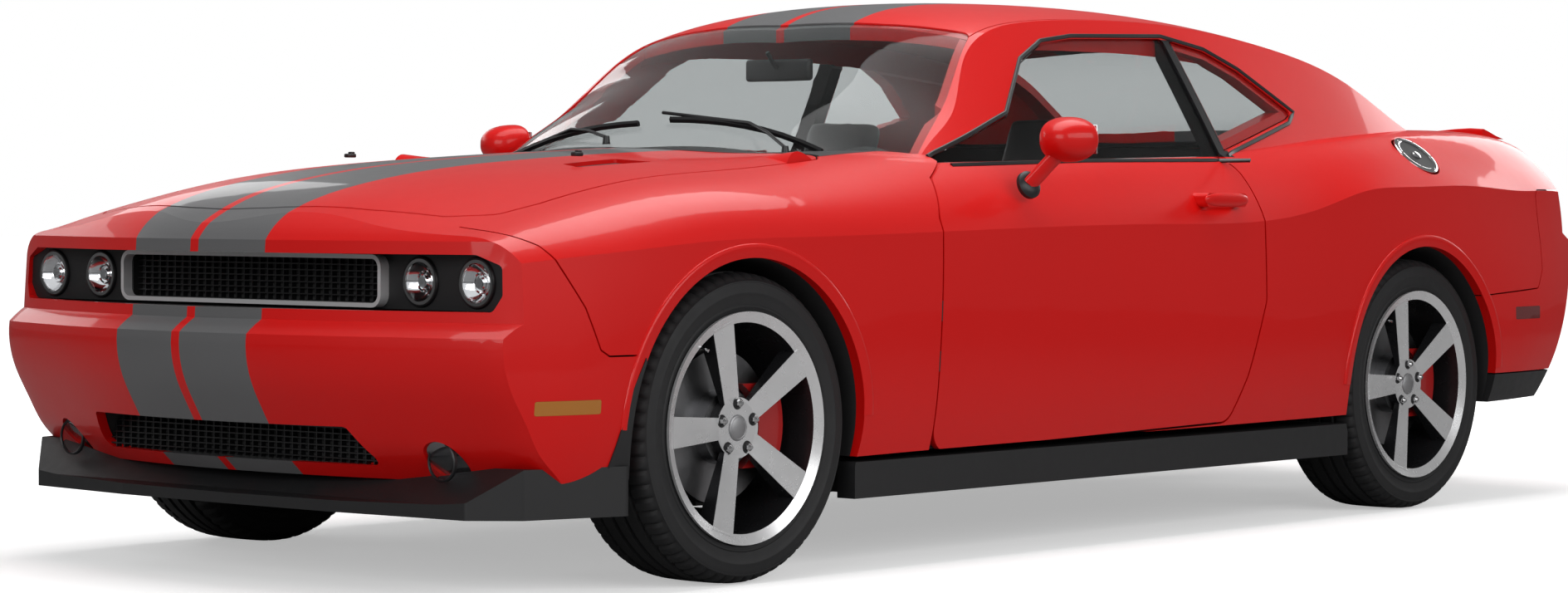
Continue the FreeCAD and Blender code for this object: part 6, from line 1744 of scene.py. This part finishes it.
# Engine bay
@dataclass
class EngineBay:
    """What stands on and round the engine block.

    Attributes:
        cover_foot: X and height of a valve cover's lowest rear edge before it leans.
        cover_size: Size of a valve cover.
        cover_pivot: X and height about which a cover leans.
        cover_side: Distance of a cover's middle from the middle of the car.
        cover_lean: How far a cover leans outwards, degrees.
        plugs: Spark plug caps on each cover.
        plug_start: X of the rearmost cap.
        plug_pitch: Distance from one cap to the next.
        plug_ends: Y and height of the left caps' foot and head.
        plug_radii: Radius of a cap at its foot and head.
        plug_lead: Points of a cap's lead, ahead of the cap, from the middle of the car and up.
        lead_radius: Radius of a lead.
        runner_start: X of the rearmost intake runner.
        runner_pitch: Distance from one runner to the next.
        runner: Y and height of a runner's points.
        runner_radius: Radius of a runner.
        intake: Lowest and highest corner of the intake.
        air_box: The same corners of the air box.
        battery: The same corners of the battery.
        air_hose: Middle line of the hose from the intake to the air box.
        air_radius: Radius of that hose.
        water_hose: Middle line of the upper water hose.
        water_radius: Radius of that hose.
        pulleys: Middle, profile and steps of each pulley.
    """

    cover_foot: tuple[float, float] = (1.22, 0.800)
    cover_size: Place = (0.54, 0.150, 0.075)
    cover_pivot: tuple[float, float] = (1.49, 0.84)
    cover_side: float = 0.235
    cover_lean: float = 28.0
    plugs: int = 4
    plug_start: float = 1.29
    plug_pitch: float = 0.13
    plug_ends: Outline = ((0.225, 0.868), (0.245, 0.898))
    plug_radii: tuple[float, float] = (0.017, 0.013)
    plug_lead: tuple[Place, ...] = ((0.0, 0.235, 0.890), (0.02, 0.28, 0.880), (0.03, 0.31, 0.80))
    lead_radius: float = 0.004
    runner_start: float = 1.30
    runner_pitch: float = 0.12
    runner: Outline = ((0.09, 0.890), (0.135, 0.896), (0.175, 0.870), (0.19, 0.84))
    runner_radius: float = 0.021
    intake: tuple[Place, Place] = ((1.25, -0.125, 0.865), (1.74, 0.125, 0.905))
    air_box: tuple[Place, Place] = ((1.80, 0.34, 0.74), (2.02, 0.56, 0.88))
    battery: tuple[Place, Place] = ((1.10, -0.62, 0.72), (1.28, -0.40, 0.88))
    air_hose: tuple[Place, ...] = ((1.74, 0.0, 0.885), (1.84, 0.05, 0.885), (1.90, 0.20, 0.870),
                                   (1.90, 0.36, 0.840))
    air_radius: float = 0.042
    water_hose: tuple[Place, ...] = ((1.80, -0.10, 0.80), (1.90, -0.16, 0.82), (1.98, -0.22, 0.80))
    water_radius: float = 0.020
    pulleys: tuple[tuple[Place, Outline, int], ...] = (
        ((1.826, 0.0, 0.56), ((0.0, 0.0), (0.062, 0.0), (0.062, 0.022), (0.054, 0.026), (0.030, 0.026),
                              (0.022, 0.034), (0.0, 0.034)), 40),
        ((1.826, 0.16, 0.66), ((0.0, 0.0), (0.045, 0.0), (0.045, 0.024), (0.0, 0.026)), 32),
        ((1.826, -0.15, 0.72), ((0.0, 0.0), (0.034, 0.0), (0.034, 0.024), (0.0, 0.026)), 32),
    )

    def build(self) -> None:
        """Builds the engine's covers, intake, hoses and pulleys."""
        covers, dark, metal = Form(), Form(), Form()
        for side, _ in SIDES:
            self.valve_cover(side, covers, dark)
        dark.block(*self.intake, 0.022, 4)
        for number in range(self.plugs):
            x = self.runner_start + number * self.runner_pitch
            for side, _ in SIDES:
                dark.tube([(x, side * y, z) for y, z in self.runner], self.runner_radius, 12)
        dark.tube(self.air_hose, self.air_radius, 16)
        dark.block(*self.air_box, 0.02)
        dark.block(*self.battery, 0.012)
        dark.tube(self.water_hose, self.water_radius, 12)
        for middle, profile, steps in self.pulleys:
            metal.turned(profile, middle, (1, 0, 0), steps)
        covers.finish("valve_covers", Look.CALIPER)
        dark.finish("intake_and_hoses", Look.PLASTIC)
        metal.finish("pulleys", Look.STEEL)

    def valve_cover(self, side: int, covers: Form, dark: Form) -> None:
        """Leans a valve cover outwards and sets its plug caps with their leads.

        Args:
            side: Sign of Y on this side.
            covers: Form of the covers.
            dark: Form of the dark parts.
        """
        x, z = self.cover_foot
        low = Vector((x, side * self.cover_side - self.cover_size[1] / 2, z))
        verts = covers.block(low, low + Vector(self.cover_size), 0.018, 4)
        x, z = self.cover_pivot
        lean = Matrix.Rotation(math.radians(-self.cover_lean * side), 3, "X")
        bmesh.ops.rotate(covers.mesh, cent=(x, side * self.cover_side, z), verts=verts, matrix=lean)
        for number in range(self.plugs):
            x = self.plug_start + number * self.plug_pitch
            foot, head = ((x, side * out, up) for out, up in self.plug_ends)
            dark.rod(foot, head, *self.plug_radii)
            dark.tube([(x + ahead, side * out, up) for ahead, out, up in self.plug_lead], self.lead_radius, 8)


# Studio
@dataclass
class Studio:
    """Floor, lights, world and camera.

    Attributes:
        eye: Place of the camera.
        yaw: Turn of the view about Z, radians.
        pitch: Tilt of the view, radians.
        roll: Roll of the view, radians.
        focal: Focal length in picture widths.
        floor_half: Half of the floor's width.
        floor_seen: Colour of the floor where the camera sees it.
        floor_hidden: Colour of the floor where it only lights the car.
        glow_radii: Distances from the car's middle between which the floor's glow grows.
        glow: Strength of the glow near the car and far from it.
        world_light: Strength of the world where it lights the car.
        aim: Where the lamps point.
        lamps: Name, place, size and power of each lamp.
    """

    eye: Place = (8.1173, 6.6988, 0.8973)
    yaw: float = -2.428
    pitch: float = -0.026
    roll: float = 0.0036
    focal: float = 4538.4 / PHOTO_WIDTH
    floor_half: float = 60.0
    floor_seen: Colour = (0.88, 0.88, 0.88)
    floor_hidden: Colour = (0.30, 0.30, 0.30)
    glow_radii: tuple[float, float] = (3.0, 5.5)
    glow: tuple[float, float] = (0.42, 1.0)
    world_light: float = 0.18
    aim: Place = (0.0, 0.0, 0.6)
    lamps: tuple[tuple[str, Place, tuple[float, float], float], ...] = (
        ("over", (0.0, 0.0, 5.2), (7.0, 3.4), 270.0),
        ("side", (1.0, 8.0, 3.4), (10.0, 3.0), 310.0),
        ("front", (9.0, 2.5, 3.0), (6.0, 3.0), 210.0),
        ("far_side", (0.0, -8.0, 3.6), (9.0, 2.0), 120.0),
        ("rear", (-9.0, 0.0, 3.4), (5.0, 2.0), 130.0),
    )

    def build(self) -> None:
        """Builds the whole studio."""
        self.set_camera()
        self.lay_floor()
        self.hang_lamps()
        self.fill_world()

    def set_camera(self) -> None:
        """Puts the camera at the photograph's place."""
        look = Vector((math.cos(self.pitch) * math.cos(self.yaw), math.cos(self.pitch) * math.sin(self.yaw),
                       math.sin(self.pitch)))
        right = look.cross(Vector((0, 0, 1))).normalized()
        up = right.cross(look)
        across = right * math.cos(self.roll) + up * math.sin(self.roll)
        over = up * math.cos(self.roll) - right * math.sin(self.roll)
        lens = bpy.data.cameras.new("photo_camera")
        lens.sensor_width = 36
        lens.lens = self.focal * lens.sensor_width
        camera = bpy.data.objects.new("photo_camera", lens)
        rotation = Matrix((across, over, -look)).transposed().to_4x4()
        camera.matrix_world = Matrix.Translation(self.eye) @ rotation
        bpy.context.scene.collection.objects.link(camera)
        bpy.context.scene.camera = camera

    def lay_floor(self) -> None:
        """Lays the pale floor, which keeps the car's shadow."""
        mesh = bmesh.new()
        bmesh.ops.create_grid(mesh, x_segments=1, y_segments=1, size=self.floor_half)
        floor = bpy.data.objects.new("floor", bpy.data.meshes.new("floor"))
        mesh.to_mesh(floor.data)
        mesh.free()
        bpy.context.scene.collection.objects.link(floor)
        floor.data.materials.append(self.floor_material())

    def floor_material(self) -> bpy.types.Material:
        """Makes the floor's material, whose glow grows away from the car.

        Returns:
            The material.
        """
        nodes = Nodes("floor")
        nodes.set(Roughness=0.9, Specular_IOR_Level=0.0)
        seen = nodes.add("ShaderNodeLightPath").outputs["Is Camera Ray"]
        nodes.feed("Base Color", nodes.blend(seen, self.floor_hidden, self.floor_seen))
        away = nodes.add("ShaderNodeVectorMath", operation="LENGTH")
        nodes.join(nodes.place, away.inputs[0])
        strength = nodes.spread(away.outputs["Value"], *self.glow, *self.glow_radii)
        glow = nodes.add("ShaderNodeEmission")
        glow.inputs["Color"].default_value = (1.0, 1.0, 1.0, 1.0)
        nodes.join(nodes.math("MULTIPLY", seen, strength), glow.inputs["Strength"])
        both = nodes.add("ShaderNodeAddShader")
        nodes.join(nodes.shader.outputs[0], both.inputs[0])
        nodes.join(glow.outputs[0], both.inputs[1])
        nodes.join(both.outputs[0], nodes.tree.nodes["Material Output"].inputs["Surface"])
        return nodes.material

    def hang_lamps(self) -> None:
        """Hangs the soft lamps, which all point at the car."""
        for name, place, size, power in self.lamps:
            data = bpy.data.lights.new(name, "AREA")
            data.shape = "RECTANGLE"
            data.size, data.size_y = size
            data.energy = power
            lamp = bpy.data.objects.new(name, data)
            lamp.location = place
            lamp.rotation_euler = (Vector(self.aim) - Vector(place)).to_track_quat("-Z", "Y").to_euler()
            bpy.context.scene.collection.objects.link(lamp)

    def fill_world(self) -> None:
        """Fills the world: white where it is seen, softer where it lights."""
        world = bpy.data.worlds.new("studio")
        world.use_nodes = True
        tree = world.node_tree
        path = tree.nodes.new("ShaderNodeLightPath")
        seen = tree.nodes.new("ShaderNodeMath")
        seen.operation = "MAXIMUM"
        tree.links.new(path.outputs["Is Camera Ray"], seen.inputs[0])
        tree.links.new(path.outputs["Is Transmission Ray"], seen.inputs[1])
        strength = tree.nodes.new("ShaderNodeMapRange")
        strength.inputs["To Min"].default_value = self.world_light
        strength.inputs["To Max"].default_value = 1.0
        tree.links.new(seen.outputs[0], strength.inputs["Value"])
        sky = tree.nodes["Background"]
        sky.inputs["Color"].default_value = (1.0, 1.0, 1.0, 1.0)
        tree.links.new(strength.outputs[0], sky.inputs["Strength"])
        bpy.context.scene.world = world


def main() -> None:
    """Dresses the car and builds the studio."""
    logging.basicConfig(level=logging.INFO, format="%(message)s")
    for look in Look:
        MATERIALS[look] = look.value.make()
    for name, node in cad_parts.items():
        dress(node, finish_of(name))
    for corner in ("front_left", "front_right", "rear_left", "rear_right"):
        Wheel(corner).build()
    for group in (BodyTrim(), Lamps(), Mirrors(), Fittings(), Cabin(), EngineBay()):
        group.build()
    Studio().build()
    bpy.context.scene.view_settings.view_transform = "Standard"
    log.info("%d nodes dressed", len(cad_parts))


if __name__ == "__main__":
    main()
